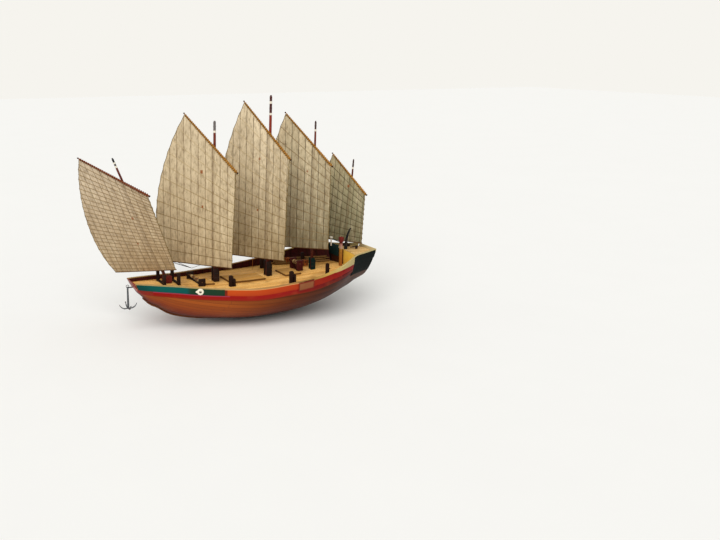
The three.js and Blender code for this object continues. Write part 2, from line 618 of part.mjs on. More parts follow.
// Rings round the mast on a strip behind the sail: they let it turn about the mast.
function parrelRings(sail, mast, out) {
  const thickness = (w) => THREE.MathUtils.lerp(mast.foot, mast.top, w / mast.length);
  const headAtMast = sail.throat[1]
    + (sail.peak[1] - sail.throat[1]) * (-sail.throat[0] / (sail.peak[0] - sail.throat[0]));
  const low = sail.tack[1] + 30;
  const high = headAtMast - 24;
  const rings = range(low, high, PARREL.count - 1).map((w) => {
    const inner = (thickness(w) + PARREL.play) / Math.cos(Math.PI / PARREL.sides);
    const outer = inner + PARREL.wall;
    const top = w + PARREL.height;
    const profile = [[inner, w], [outer, w], [outer, top], [inner, top], [inner, w]];
    return turned(profile, PARREL.sides);
  });
  const strip = box(-PARREL.strip / 2, PARREL.strip / 2,
    thickness(low) + PARREL.play, out - CLOTH / 2 - SEAT, low, high + PARREL.height);
  return fuse(strip, ...rings);
}

// Foremast step: a red block with the raked mast's hole, and a pair of posts ahead and astern.
const foremast = MASTS[0];
const foreRake = THREE.MathUtils.degToRad(foremast.rake);
const foreAxis = new THREE.Vector3(Math.sin(foreRake), 0, Math.cos(foreRake));
const foreFoot = new THREE.Vector3(foremast.x, foremast.y, foremast.z);
const STEP = { aft: 16, fore: 26, half: 15, height: 32 };
const stepLow = restOn(foremast.x - STEP.aft, foremast.x + STEP.fore, -STEP.half, STEP.half);
const stepBlock = box(foremast.x - STEP.aft, foremast.x + STEP.fore, -STEP.half, STEP.half,
  stepLow, stepLow + STEP.height);
const stepHole = rod(foreFoot.clone().addScaledVector(foreAxis, -30),
  foreFoot.clone().addScaledVector(foreAxis, 80), foremast.foot + 1, foremast.foot + 1, 16);
add(ship, 'tabernacle_1', cut(stepBlock, stepHole), PAINT_RED);

const GALLOWS = { half: 45, post: 14, sill: 8 };
// name, x, height
[['fore', 463, 48], ['aft', 391, 56]].forEach(([name, x, height]) => {
  const half = GALLOWS.post / 2;
  const low = restOn(x - half, x + half, 0, 0);
  const foot = restOn(x - half, x + half, GALLOWS.half - half, GALLOWS.half + half);
  const posts = [1, -1].map((side) => box(x - half, x + half,
    side * GALLOWS.half - half, side * GALLOWS.half + half, foot, low + height));
  const sill = box(x - half + 2, x + half - 2, -GALLOWS.half, GALLOWS.half, low, low + GALLOWS.sill);
  add(ship, `gallows_${name}`, fuse(...posts, sill), WOOD_DARK);
});

// Windlasses: a barrel across the ship between two cheeks on a sill.
const WINDLASSES = [
  // name, x, y of the middle, half the cheeks' distance, cheek height, barrel radius, colour
  ['fore', 287, 0, 78, 34, 6, WOOD_DARK],
  ['main', -278, -36, 36, 54, 10, PAINT_MAROON],
];
const CHEEK = { thick: 9, length: 34, pin: 3, pinPlay: 0.4, end: 0.8 };
WINDLASSES.forEach(([name, x, y, half, height, radius, colour]) => {
  const low = restOn(x - 5, x + 5, y - half, y + half);
  const axle = low + height - CHEEK.length / 2;
  const cheeks = [1, -1].map((side) => {
    const middle = y + side * half;
    const foot = restOn(x - CHEEK.length / 2, x + CHEEK.length / 2,
      middle - CHEEK.thick / 2, middle + CHEEK.thick / 2);
    return box(x - CHEEK.length / 2, x + CHEEK.length / 2,
      y + side * half - CHEEK.thick / 2, y + side * half + CHEEK.thick / 2, foot, low + height);
  });
  const sill = box(x - 5, x + 5, y - half, y + half, low, low + 5);
  const axis = (from, to, r) => rod(
    new THREE.Vector3(x, from, axle), new THREE.Vector3(x, to, axle), r, r, 12);
  const bore = axis(y - half - CHEEK.thick, y + half + CHEEK.thick, CHEEK.pin + CHEEK.pinPlay);
  add(ship, `windlass_frame_${name}`, cut(fuse(...cheeks, sill), bore), colour);
  const reach = half - CHEEK.thick / 2 - CHEEK.end;
  const barrel = axis(y - reach, y + reach, radius);
  const pin = axis(y - half - CHEEK.thick / 2, y + half + CHEEK.thick / 2, CHEEK.pin);
  add(ship, `windlass_drum_${name}`, fuse(barrel, pin), 0x5a3a22);
});

// Deck chests, the post before the poop, and the crutch that takes the lowered after sail.
const CHESTS = [
  ['port', -352, -89, 34, 30, 28],
  ['starboard', -312, -192, 34, 30, 30],
];
CHESTS.forEach(([name, x, y, length, width, height]) => {
  const foot = restOn(x - length / 2, x + length / 2, y - width / 2, y + width / 2);
  add(ship, `chest_${name}`, box(x - length / 2, x + length / 2, y - width / 2, y + width / 2,
    foot, foot + height), 0xb5642c);
});
const POST_AT = { x: -506, y: 20, half: 6.5, head: 10, headLow: 172, top: 198 };
const squarePost = (half, low, high) => box(POST_AT.x - half, POST_AT.x + half,
  POST_AT.y - half, POST_AT.y + half, low, high);
const postFoot = restOn(POST_AT.x - POST_AT.half, POST_AT.x + POST_AT.half,
  POST_AT.y - POST_AT.half, POST_AT.y + POST_AT.half);
add(ship, 'poop_post', fuse(squarePost(POST_AT.half, postFoot, POST_AT.top - 1),
  squarePost(POST_AT.head, POST_AT.headLow, POST_AT.top)), PAINT_MAROON);

const CRUTCH = { x: -547, y: 0, radius: 9, tip: 3.5, knob: 4.5, aft: 17, port: 12, height: 235 };
const crutchLine = new THREE.QuadraticBezierCurve3(
  new THREE.Vector3(CRUTCH.x, CRUTCH.y, deckHeight(CRUTCH.x, CRUTCH.y, poopDeck) + SEAT + 0.4),
  new THREE.Vector3(CRUTCH.x + 2, CRUTCH.y, 196),
  new THREE.Vector3(CRUTCH.x - CRUTCH.aft, CRUTCH.y + CRUTCH.port, CRUTCH.height));
const crutchPoints = crutchLine.getPoints(8);
const crutchRing = (p, k) => {
  const way = crutchLine.getTangent(k / 8);
  const side = new THREE.Vector3(0, 1, 0);
  const ahead = side.clone().cross(way).normalize();
  const r = THREE.MathUtils.lerp(CRUTCH.radius, CRUTCH.tip, k / 8);
  return circle(8).map((a) => p.clone()
    .addScaledVector(side, r * Math.cos(a)).addScaledVector(ahead, r * Math.sin(a)));
};
const knob = new THREE.SphereGeometry(CRUTCH.knob, 8, 6).translate(...crutchPoints[8].toArray());
const horn = loft(crutchPoints.map(crutchRing), (p) => new THREE.Vector2(p.x, p.y));
add(ship, 'poop_crutch', fuse(horn, knob), IRON);

// Rudder, hoisted in its well: a blade of planks abaft the stock, and the tiller on its head.
const BLADE = { half: 4, high: 76, low: -36, rise: 8, into: 3, play: 7 };
const sternLine = (z) => STERN_X + STERN_RAKE * (rail(STERN_X) - z) + BLADE.play;
const stockBack = (z) => stockPoint(z).x - BLADE.into;
const heel = BLADE.low + BLADE.rise;
const bladeShape = new THREE.Shape([[stockBack(BLADE.high), BLADE.high], [sternLine(BLADE.high), BLADE.high],
  [sternLine(heel), heel], [stockBack(BLADE.low), BLADE.low]].map((corner) => new THREE.Vector2(...corner)));
const blade = new THREE.ExtrudeGeometry(bladeShape, { depth: 2 * BLADE.half, bevelEnabled: false })
  .rotateX(Math.PI / 2).translate(0, BLADE.half, 0);
const stock = rod(stockPoint(BLADE.low - 6), stockPoint(139), STOCK.radius);
const stockRoom = rod(stockPoint(BLADE.low - 80), stockPoint(STOCK.z), STOCK.radius + SEAT);
add(ship, 'rudder_blade', cut(blade, stockRoom), WOOD_VARNISHED);
const TILLER = { z: 134, radius: 3.4, tip: 2.4, x: -574 };
const tiller = rod(stockPoint(TILLER.z).setX(stockPoint(TILLER.z).x + 1),
  new THREE.Vector3(TILLER.x, 0, TILLER.z), TILLER.radius, TILLER.tip);
add(ship, 'rudder_stock', fuse(stock, tiller), WOOD_DARK);

// Anchor: a grapnel of four arms, hung by its ring from an eye on the bow transom.
const ANCHOR = { x: 628, top: 60, low: -46, shank: 5.2, arm: 3, reach: 42 };
const onShank = (z) => new THREE.Vector3(ANCHOR.x, 0, z);
const shank = rod(onShank(ANCHOR.low), onShank(ANCHOR.top), ANCHOR.shank, 4.2, 8);
// Each arm runs out from the shank's foot and curves up to a point.
const ARM_LINE = [[0, 3, 1], [18, 2, 1], [31, 8, 0.9], [39, 17, 0.6], [42, 24, 0.25]];
function anchorArm(turn) {
  const ahead = new THREE.Vector3(Math.cos(turn), Math.sin(turn), 0);
  const side = new THREE.Vector3(-Math.sin(turn), Math.cos(turn), 0);
  const rings = ARM_LINE.map(([out, up, scale]) => {
    const middle = onShank(ANCHOR.low + up).addScaledVector(ahead, out);
    const steep = Math.min(1, out / ANCHOR.reach);
    const above = new THREE.Vector3(0, 0, 1 - steep * 0.6).addScaledVector(ahead, -steep * 0.8).normalize();
    return circle(6).map((a) => middle.clone()
      .addScaledVector(side, ANCHOR.arm * scale * Math.cos(a))
      .addScaledVector(above, ANCHOR.arm * scale * Math.sin(a)));
  });
  return loft(rings, (p) => new THREE.Vector2(p.dot(side), p.z));
}
const arms = circle(4).map(anchorArm);
const eyeHeight = ANCHOR.top - 4;
const boardFace = stationPoint(BOW_X, 0, eyeHeight + 3).x + BOARD_THICK;
const eyeBar = rod(new THREE.Vector3(boardFace + SEAT, 0, eyeHeight),
  new THREE.Vector3(ANCHOR.x, 0, eyeHeight), 3, 3, 8);
add(ship, 'anchor', fuse(shank, eyeBar, ...arms), IRON, 0.5, 0.6);

export default ship;
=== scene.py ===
"""Looks of a wooden display model of a five-masted junk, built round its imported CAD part.
Metres, with +X at the bow, +Y at port and +Z up. The origin is amidships at the waterline."""

import json
import math

import bpy
from mathutils import Matrix, Vector
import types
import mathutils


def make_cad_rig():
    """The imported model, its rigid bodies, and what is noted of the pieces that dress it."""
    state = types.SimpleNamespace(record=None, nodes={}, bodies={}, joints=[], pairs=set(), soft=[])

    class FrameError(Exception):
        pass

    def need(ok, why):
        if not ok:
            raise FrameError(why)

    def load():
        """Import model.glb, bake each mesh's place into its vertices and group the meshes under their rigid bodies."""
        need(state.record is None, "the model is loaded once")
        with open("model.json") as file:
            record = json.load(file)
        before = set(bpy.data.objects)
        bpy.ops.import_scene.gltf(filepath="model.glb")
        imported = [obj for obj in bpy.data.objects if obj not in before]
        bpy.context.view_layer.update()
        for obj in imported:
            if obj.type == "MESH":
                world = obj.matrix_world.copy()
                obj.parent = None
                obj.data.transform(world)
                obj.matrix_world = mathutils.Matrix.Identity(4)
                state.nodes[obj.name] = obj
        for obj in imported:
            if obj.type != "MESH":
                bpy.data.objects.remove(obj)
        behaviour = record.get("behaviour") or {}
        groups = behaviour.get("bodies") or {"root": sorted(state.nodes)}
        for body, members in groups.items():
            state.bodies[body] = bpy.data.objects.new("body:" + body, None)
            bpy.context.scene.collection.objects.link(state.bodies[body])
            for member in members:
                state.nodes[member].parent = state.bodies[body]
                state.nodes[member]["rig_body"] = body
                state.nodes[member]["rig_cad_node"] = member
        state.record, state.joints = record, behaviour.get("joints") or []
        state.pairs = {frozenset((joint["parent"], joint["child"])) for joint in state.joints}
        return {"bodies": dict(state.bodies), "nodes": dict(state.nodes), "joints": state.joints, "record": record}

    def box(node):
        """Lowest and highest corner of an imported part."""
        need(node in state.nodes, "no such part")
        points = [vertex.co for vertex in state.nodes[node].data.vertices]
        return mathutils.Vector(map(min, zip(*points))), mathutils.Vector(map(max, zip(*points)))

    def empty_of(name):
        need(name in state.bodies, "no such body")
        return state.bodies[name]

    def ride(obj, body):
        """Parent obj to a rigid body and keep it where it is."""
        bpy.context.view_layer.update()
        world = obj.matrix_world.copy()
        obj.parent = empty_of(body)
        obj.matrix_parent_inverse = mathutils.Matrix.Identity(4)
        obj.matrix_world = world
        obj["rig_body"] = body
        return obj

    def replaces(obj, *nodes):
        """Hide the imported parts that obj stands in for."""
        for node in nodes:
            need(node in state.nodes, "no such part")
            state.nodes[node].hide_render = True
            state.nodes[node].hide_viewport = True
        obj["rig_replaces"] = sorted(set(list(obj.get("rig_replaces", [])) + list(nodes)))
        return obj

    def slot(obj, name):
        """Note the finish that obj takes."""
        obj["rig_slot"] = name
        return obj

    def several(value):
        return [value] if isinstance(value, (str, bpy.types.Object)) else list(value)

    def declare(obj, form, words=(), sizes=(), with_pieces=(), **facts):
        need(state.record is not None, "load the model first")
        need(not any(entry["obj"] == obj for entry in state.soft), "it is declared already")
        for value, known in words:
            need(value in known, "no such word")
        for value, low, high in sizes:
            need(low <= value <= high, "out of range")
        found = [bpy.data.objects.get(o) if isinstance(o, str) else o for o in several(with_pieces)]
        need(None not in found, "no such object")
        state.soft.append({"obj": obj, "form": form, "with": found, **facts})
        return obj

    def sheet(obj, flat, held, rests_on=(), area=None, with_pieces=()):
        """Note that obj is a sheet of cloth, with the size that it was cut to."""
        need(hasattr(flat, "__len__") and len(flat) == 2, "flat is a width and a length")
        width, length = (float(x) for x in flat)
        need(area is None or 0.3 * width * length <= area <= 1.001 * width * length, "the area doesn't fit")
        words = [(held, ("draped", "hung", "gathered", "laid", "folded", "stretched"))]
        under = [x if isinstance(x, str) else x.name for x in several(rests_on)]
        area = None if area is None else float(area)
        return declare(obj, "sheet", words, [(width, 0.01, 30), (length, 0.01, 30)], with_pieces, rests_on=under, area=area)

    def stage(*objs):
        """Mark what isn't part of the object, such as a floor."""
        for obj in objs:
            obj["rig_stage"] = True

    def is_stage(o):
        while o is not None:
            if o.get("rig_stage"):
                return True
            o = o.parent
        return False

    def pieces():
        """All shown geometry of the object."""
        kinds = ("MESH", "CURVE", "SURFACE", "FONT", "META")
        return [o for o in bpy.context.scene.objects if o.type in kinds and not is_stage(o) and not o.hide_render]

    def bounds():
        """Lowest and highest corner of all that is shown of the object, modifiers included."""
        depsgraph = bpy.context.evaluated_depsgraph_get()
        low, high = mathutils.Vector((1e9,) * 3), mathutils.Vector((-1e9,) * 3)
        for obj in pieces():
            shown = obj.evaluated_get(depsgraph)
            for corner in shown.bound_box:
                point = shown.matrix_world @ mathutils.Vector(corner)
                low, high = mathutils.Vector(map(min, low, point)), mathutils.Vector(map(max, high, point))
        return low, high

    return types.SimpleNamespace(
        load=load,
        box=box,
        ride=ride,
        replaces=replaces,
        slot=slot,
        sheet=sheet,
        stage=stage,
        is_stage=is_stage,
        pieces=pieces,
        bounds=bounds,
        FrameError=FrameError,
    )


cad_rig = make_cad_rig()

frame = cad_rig.load()
cad_low, cad_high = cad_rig.bounds()
bpy.ops.object.select_all(action="DESELECT")


# Hull lines
# The ship is drawn as stations, as a loftsman does it: at each one the half breadth, the
# heights of the rail, deck and bottom, and how full the side is. The ends rake.
STATIONS = {
    # millimetres; bilge is the exponent of the side's curve
    "x": [-680, -640, -590, -515, -430, -350, -240, -100, 60, 200, 330, 430, 500, 560, 610],
    "beam": [80, 99, 123, 163, 220, 250, 261, 257, 242, 205, 157, 120, 98, 78, 59],
    "rail": [131, 131, 131, 132, 118, 97, 74, 57, 46, 52, 60.5, 71, 77.5, 83, 87],
    "deck": [117, 117, 117, 40, 32, 27, 23, 21, 21.5, 27, 39, 50, 57, 63, 68],
    "bottom": [-24, -34, -46, -73, -98, -118, -139, -149, -149, -137, -118, -88, -50, -24, 26],
    "bilge": [1.8, 1.75, 1.7, 1.7, 1.8, 2.0, 2.2, 2.6, 2.85, 2.7, 2.4, 2.1, 1.9, 1.8, 1.8],
}
STERN, POOP_BREAK, BOW = -680, -537, 610
SIDE_POWER = 1.75
POOP_UNDER_RAIL = 14
CAMBER, WIDEST = 14, 250
HULL_UNDER_DECK = 2.8
STERN_LEAN, BOW_LEAN = 0.25, -0.45
BOW_LEANS_FROM = 400


def between(a, b, t):
    return a + (b - a) * t


def along(name, x):
    """A smooth curve through one row of the stations."""
    xs, ys = STATIONS["x"], STATIONS[name]
    last = len(xs) - 1

    def slope(i):
        a, b = max(0, i - 1), min(last, i + 1)
        return (ys[b] - ys[a]) / (xs[b] - xs[a])

    i = 0
    while i < last - 1 and x > xs[i + 1]:
        i += 1
    span = xs[i + 1] - xs[i]
    t = min(1.0, max(0.0, (x - xs[i]) / span))
    early = (1 + 2 * t) * (1 - t) ** 2 * ys[i] + t * (1 - t) ** 2 * span * slope(i)
    late = t * t * (3 - 2 * t) * ys[i + 1] + t * t * (t - 1) * span * slope(i + 1)
    return early + late


def rail(x):
    return along("rail", x)


def main_deck(x):
    if x >= -430:
        return along("deck", x)
    return between(32, 40, (-430 - x) / (-430 - POOP_BREAK))


def poop_deck(x):
    return rail(x) - POOP_UNDER_RAIL


def half_breadth(x, z):
    drop = (rail(x) - z) / (rail(x) - along("bottom", x))
    drop = min(1.0, max(0.0, drop))
    return along("beam", x) * (1 - drop ** along("bilge", x)) ** (1 / SIDE_POWER)


def at_station(x, y, z):
    """The point of a station in metres. Forward and aft the stations lean."""
    lean = 0.0
    if x < POOP_BREAK:
        lean = STERN_LEAN * ((POOP_BREAK - x) / (POOP_BREAK - STERN)) ** 1.2
    elif x > BOW_LEANS_FROM:
        lean = BOW_LEAN * ((x - BOW_LEANS_FROM) / (BOW - BOW_LEANS_FROM)) ** 2
    return Vector((x + lean * (rail(x) - z), y, z)) / 1000


def deck_height(x, y, top=main_deck):
    inner = max(3.0, half_breadth(x, top(x) - HULL_UNDER_DECK) - 8)
    rise = CAMBER * along("beam", x) / WIDEST
    return top(x) + rise * max(0.0, 1 - (y / inner) ** 2)


# Hull planking
# Planks of varnished wood bent round and running to both ends, warm brown, with painted shade that
# darkens them to the bottom and greys and darkens them aft, and a red band by the bow. The stern has a well for the
# rudder.
def only(piece):
    """Selects one piece alone and makes it the active one."""
    bpy.ops.object.select_all(action="DESELECT")
    piece.select_set(True)
    bpy.context.view_layer.objects.active = piece


def laid(name, columns, rows, place, run=None):
    """A sheet of wood: a grid laid where place(s, t) says, with s and t from 0 to 1. Its map
    "run" holds the metres along and across that run(s, t) gives."""
    bpy.ops.mesh.primitive_grid_add(x_subdivisions=columns, y_subdivisions=rows, size=1)
    piece = bpy.context.object
    piece.name = piece.data.name = name
    mesh = piece.data
    spots = [(v.co.x + 0.5, v.co.y + 0.5) for v in mesh.vertices]
    for vertex, (s, t) in zip(mesh.vertices, spots):
        vertex.co = place(s, t)
    layer = mesh.uv_layers[0]
    layer.name = "run"
    for loop in mesh.loops:
        s, t = spots[loop.vertex_index]
        layer.data[loop.index].uv = run(s, t) if run else (s, t)
    mesh.update()
    return piece


def worked(piece, kind, **settings):
    """Puts a modifier with these settings on a piece and applies it."""
    only(piece)
    modifier = piece.modifiers.new(kind, kind)
    for key, value in settings.items():
        setattr(modifier, key, value)
    bpy.ops.object.modifier_apply(modifier=modifier.name)
    return piece


def bevelled(piece, width, turn=50):
    """Rounds the edges sharper than a turn in degrees by a width in millimetres, if any."""
    if width:
        worked(piece, "BEVEL", width=width / 1000, segments=2, limit_method="ANGLE",
               angle_limit=math.radians(turn))
    return piece


def joined(name, parts):
    """Several parts made one piece."""
    bpy.ops.object.select_all(action="DESELECT")
    for part in parts:
        part.select_set(True)
    bpy.context.view_layer.objects.active = parts[0]
    if len(parts) > 1:
        bpy.ops.object.join()
    parts[0].name = parts[0].data.name = name
    return parts[0]


def fitted(piece, finish, slot, replaces=(), body="hull", angle=35):
    """A finished piece: its finish, soft shading up to an angle, its body and its slot."""
    only(piece)
    bpy.ops.object.shade_smooth_by_angle(angle=math.radians(angle))
    piece.data.materials.clear()
    piece.data.materials.append(finish.material)
    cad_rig.ride(piece, body)
    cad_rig.slot(piece, slot)
    if replaces:
        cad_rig.replaces(piece, *replaces)
    return piece


class Signal:
    """What comes out of a shader node, for sums written as plain Python."""

    def __init__(self, finish, socket):
        self.finish, self.socket = finish, socket

    def sum(self, operation, *values):
        inputs = dict(enumerate(values))
        return self.finish.node("ShaderNodeMath", {"operation": operation}, inputs)

    def of(self, operation, *others):
        """A sum that begins with this value, such as its floor."""
        return self.sum(operation, self, *others)

    def __add__(self, other):
        return self.of("ADD", other)

    def __sub__(self, other):
        return self.of("SUBTRACT", other)

    def __rsub__(self, other):
        return self.sum("SUBTRACT", other, self)

    def __mul__(self, other):
        return self.of("MULTIPLY", other)

    def __truediv__(self, other):
        return self.of("DIVIDE", other)

    def __lt__(self, other):
        return self.of("LESS_THAN", other)

    def __gt__(self, other):
        return self.of("GREATER_THAN", other)

    __radd__, __rmul__ = __add__, __mul__


def colour(code):
    """A paint's colour from its six hexadecimal digits."""
    parts = [int(code[i:i + 2], 16) / 255 for i in (0, 2, 4)]
    return (*[p / 12.92 if p <= 0.04045 else ((p + 0.055) / 1.055) ** 2.4 for p in parts], 1)


class Finish:
    """A finish in the making: a material whose nodes are added one by one. Colours are given
    as six hexadecimal digits."""

    def __init__(self, name):
        self.material = bpy.data.materials.new(name)
        self.material.use_nodes = True
        self.tree = self.material.node_tree
        self.tree.nodes.clear()

    def node(self, kind, settings=None, inputs=None, output=0):
        made = self.tree.nodes.new(kind)
        for key, value in (settings or {}).items():
            if key == "stops":
                ramp = made.color_ramp
                while len(ramp.elements) < len(value):
                    ramp.elements.new(0.5)
                for element, (spot, shade) in zip(ramp.elements, value):
                    element.position, element.color = spot, colour(shade)
            else:
                setattr(made, key, value)
        for key, value in (inputs or {}).items():
            if isinstance(value, Signal):
                self.tree.links.new(value.socket, made.inputs[key])
            else:
                made.inputs[key].default_value = colour(value) if isinstance(value, str) else value
        if isinstance(output, tuple):
            return [Signal(self, made.outputs[name]) for name in output]
        return Signal(self, made.outputs[output]) if made.outputs else None

    def place(self):
        """Where the point is on the object, in metres."""
        return self.node("ShaderNodeTexCoord", output="Object")

    def run(self):
        """Metres along and across the piece, from its own map."""
        return self.node("ShaderNodeUVMap", {"uv_map": "run"})

    def split(self, vector):
        return self.node("ShaderNodeSeparateXYZ", inputs={0: vector}, output=("X", "Y", "Z"))

    def joint(self, x, y, z=0.0):
        return self.node("ShaderNodeCombineXYZ", inputs={0: x, 1: y, 2: z})

    def noise(self, scale, stretch, detail, at=None):
        """Noise over the object, or over another map, drawn out where the stretch is low."""
        spread = self.node("ShaderNodeMapping",
                           inputs={"Vector": at or self.place(), "Scale": stretch})
        return self.node("ShaderNodeTexNoise", inputs={
            "Vector": spread, "Scale": scale, "Detail": detail, "Roughness": 0.6})

    def ramp(self, value, *stops):
        return self.node("ShaderNodeValToRGB", {"stops": stops}, {0: value})

    def mix(self, share, a, b, way="MIX"):
        return self.node("ShaderNodeMix", {"data_type": "RGBA", "blend_type": way},
                         {0: share, 6: a, 7: b}, output=2)

    def coats(self, shade, *coats):
        """Lays more colours over a shade, each by its own share."""
        for share, code in coats:
            shade = self.mix(share, shade, code)
        return shade

    def every(self, value, spacing, width):
        """1 on a line of this width at each multiple of the spacing."""
        return (value / spacing).of("FRACT") < width / spacing

    def one_of(self, value, spacing, seed=0.0):
        """A number for each board, the same all over the board."""
        number = (value / spacing + seed).of("FLOOR")
        return self.node("ShaderNodeTexWhiteNoise", {"noise_dimensions": "1D"},
                         {"W": number + 17.3}, output="Value")

    def surface(self, base, rough, height=None, depth=0.3, shine=0.06, **fixed):
        """Ends the finish: colour, roughness, bumps from a height of 0 to 1, and how strongly
        the bare surface mirrors the light."""
        inputs = {"Base Color": base, "Roughness": rough, "Specular IOR Level": shine}
        if height is not None:
            inputs["Normal"] = self.node("ShaderNodeBump", inputs={
                "Strength": depth, "Distance": 0.001, "Height": height})
        for name, value in fixed.items():
            inputs[name.replace("_", " ").title()] = value
        shader = self.node("ShaderNodeBsdfPrincipled", inputs=inputs)
        self.node("ShaderNodeOutputMaterial", inputs={0: shader})
        return self


SIDE_ROWS, UNDER_ROWS = 18, 4
PLANKS_A_SIDE = 13


def shell(name, first, last, columns, top):
    """A closed stretch of hull between two stations: port side, starboard side, then top."""
    rows = 2 * SIDE_ROWS + UNDER_ROWS

    def place(s, t):
        x = between(first, last, s)
        edge, depth = top(x) - HULL_UNDER_DECK, rail(x) - along("bottom", x)
        step = round(t * rows)
        start = math.asin(min(1.0, ((rail(x) - edge) / depth) ** (along("bilge", x) / 2)))
        if step <= 2 * SIDE_ROWS:
            turn = between(start, math.pi / 2, 1 - abs(step - SIDE_ROWS) / SIDE_ROWS)
            z = rail(x) - depth * math.sin(turn) ** (2 / along("bilge", x))
            y = along("beam", x) * max(0.0, math.cos(turn)) ** (2 / SIDE_POWER)
            if step == SIDE_ROWS:
                y = 0.0
            return at_station(x, y if step < SIDE_ROWS else -y, z)
        share = (step - 2 * SIDE_ROWS) / UNDER_ROWS
        y = half_breadth(x, edge) * (2 * share - 1)
        z = deck_height(x, y, top) - HULL_UNDER_DECK if 0 < share < 1 else edge
        return at_station(x, y, z)

    def run(s, t):
        step = round(t * rows)
        down = 1 - abs(step - SIDE_ROWS) / SIDE_ROWS
        return between(first, last, s) / 1000, max(0.0, down)

    piece = laid(name, columns, rows, place, run)
    only(piece)
    bpy.ops.object.mode_set(mode="EDIT")
    bpy.ops.mesh.select_all(action="SELECT")
    bpy.ops.mesh.remove_doubles(threshold=1e-6)
    bpy.ops.mesh.fill_holes(sides=0)
    bpy.ops.mesh.select_all(action="SELECT")
    bpy.ops.mesh.normals_make_consistent(inside=False)
    bpy.ops.object.mode_set(mode="OBJECT")
    return piece


def plank_box(name, low, high, bevel=0.5, head=0.0):
    """A squared timber from one corner to the other, edges eased, with an inset top when it
    has a head."""
    bpy.ops.mesh.primitive_cube_add(size=1)
    piece = bpy.context.object
    piece.name = piece.data.name = name
    low, high = Vector(low) / 1000, Vector(high) / 1000
    piece.data.transform(Matrix.Translation((low + high) / 2) @ Matrix.Diagonal((*(high - low), 1)))
    bpy.ops.object.mode_set(mode="EDIT")
    if head:
        bpy.ops.mesh.select_all(action="DESELECT")
        bpy.ops.object.mode_set(mode="OBJECT")
        for face in piece.data.polygons:
            face.select = face.normal.z > 0.9
        bpy.ops.object.mode_set(mode="EDIT")
        bpy.ops.mesh.select_mode(type="FACE")
        bpy.ops.mesh.inset(thickness=head / 1000)
        bpy.ops.mesh.extrude_region_move(TRANSFORM_OT_translate={"value": (0, 0, head / 1000)})
    bpy.ops.mesh.select_all(action="SELECT")
    bpy.ops.object.mode_set(mode="OBJECT")
    return bevelled(piece, bevel, 40)


hull_planks = shell("hull_planks", POOP_BREAK, BOW, 96, main_deck)
stern_planks = shell("stern_planks", STERN, POOP_BREAK, 16, poop_deck)
WELL_FRONT, WELL_HALF_WIDTH, WELL_TOP = -560, 24, 84
rudder_well = plank_box("rudder_well", (STERN - 40, -WELL_HALF_WIDTH, -200),
                        (WELL_FRONT, WELL_HALF_WIDTH, WELL_TOP), 0)
worked(stern_planks, "BOOLEAN", operation="DIFFERENCE", object=rudder_well, solver="EXACT")
bpy.data.objects.remove(rudder_well)
hull_planks = joined("hull_planks", [hull_planks, stern_planks])

varnish = Finish("varnished_planks")
length, down, _ = varnish.split(varnish.run())
_, _, height = varnish.split(varnish.place())
plank = down * PLANKS_A_SIDE
grain = varnish.noise(30, (1.2, 26, 1), 6, varnish.joint(length, down))
patina = varnish.noise(7, (0.5, 1, 2), 3)
seam = varnish.every(plank, 1, 0.07)
butt = varnish.every(length + varnish.one_of(plank, 1, 5) * 0.4, 0.4, 0.0012)
# Painted shade: the side's tone darkens towards the bottom.
tone_shaded_below = varnish.ramp(down, (0.0, "aa5a20"), (0.35, "9c4a1c"), (0.56, "802e12"),
                    (0.72, "5e1a0c"), (1.0, "340e0a"))
# Painted shade: multiplied over the tone below, this ramp greys and darkens the planks aft.
aft = varnish.ramp(length + 0.7, (0.0, "343230"), (0.2, "524c4a"), (0.4, "5e5456"),
                   (0.64, "a49694"), (0.9, "ffffff"))
red = (length > 0.53) * (height > length * 0.09 - 0.027) * (height < length * 0.09 - 0.002)
gap = seam.of("MAXIMUM", butt)
wood = varnish.coats(varnish.mix(1.0, tone_shaded_below, aft, "MULTIPLY"),
                     (varnish.one_of(plank, 1) * 0.3, "6e3418"), ((grain - 0.35) * 0.7, "5a2a12"),
                     ((patina - 0.5) * 0.6, "b8743a"), (red * 0.85, "861a18"),
                     (gap * 0.7, "2a1209"))
varnish.surface(wood, 0.4 + grain * 0.14, grain * 0.25 - gap, 0.5, coat_weight=0.06,
                coat_roughness=0.2)
fitted(hull_planks, varnish, "hull_varnish", ["hull_body"])


# Keel
# A plank on edge let into the hull's bottom from the bow to the rudder well, flat under
# amidships so that the model stands on it. Its edges are eased.
def eased(node, name, bevel, turn=30):
    """A copy of a CAD node with its flats made whole and its edges rounded."""
    piece = frame["nodes"][node].copy()
    piece.data = frame["nodes"][node].data.copy()
    piece.name = piece.data.name = name
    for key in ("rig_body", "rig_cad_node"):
        del piece[key]
    piece.parent = None
    bpy.context.scene.collection.objects.link(piece)
    only(piece)
    bpy.ops.object.mode_set(mode="EDIT")
    bpy.ops.mesh.select_all(action="SELECT")
    bpy.ops.mesh.remove_doubles(threshold=1e-5)
    bpy.ops.mesh.dissolve_limited(angle_limit=math.radians(1))
    bpy.ops.object.mode_set(mode="OBJECT")
    return bevelled(piece, bevel, turn)


def dressed(node, name, bevel, finish, slot, turn=30, body="hull", angle=35):
    """Fits an eased copy of a CAD node in that node's place."""
    return fitted(eased(node, name, bevel, turn), finish, slot, [node], body, angle)


def timber(name, light, dark, along_axis=(1, 12, 12), rough=0.5, coat=0.0, worn=None,
           scale=40, wear=0.4):
    """Wood or paint over wood: grain drawn out along one way, and rubbed places."""
    finish = Finish(name)
    grain = finish.noise(scale, along_axis, 5)
    cloud = finish.noise(11, (1, 1, 1), 2)
    shade = finish.mix(grain, dark, light)
    if worn:
        rubbed = (cloud - 0.52) * 2.5
        shade = finish.mix(rubbed.of("MAXIMUM", 0.0) * wear, shade, worn)
    finish.surface(shade, rough + cloud * 0.16, grain + cloud * 0.5, 0.25,
                   coat_weight=coat * 0.25, coat_roughness=0.25)
    return finish


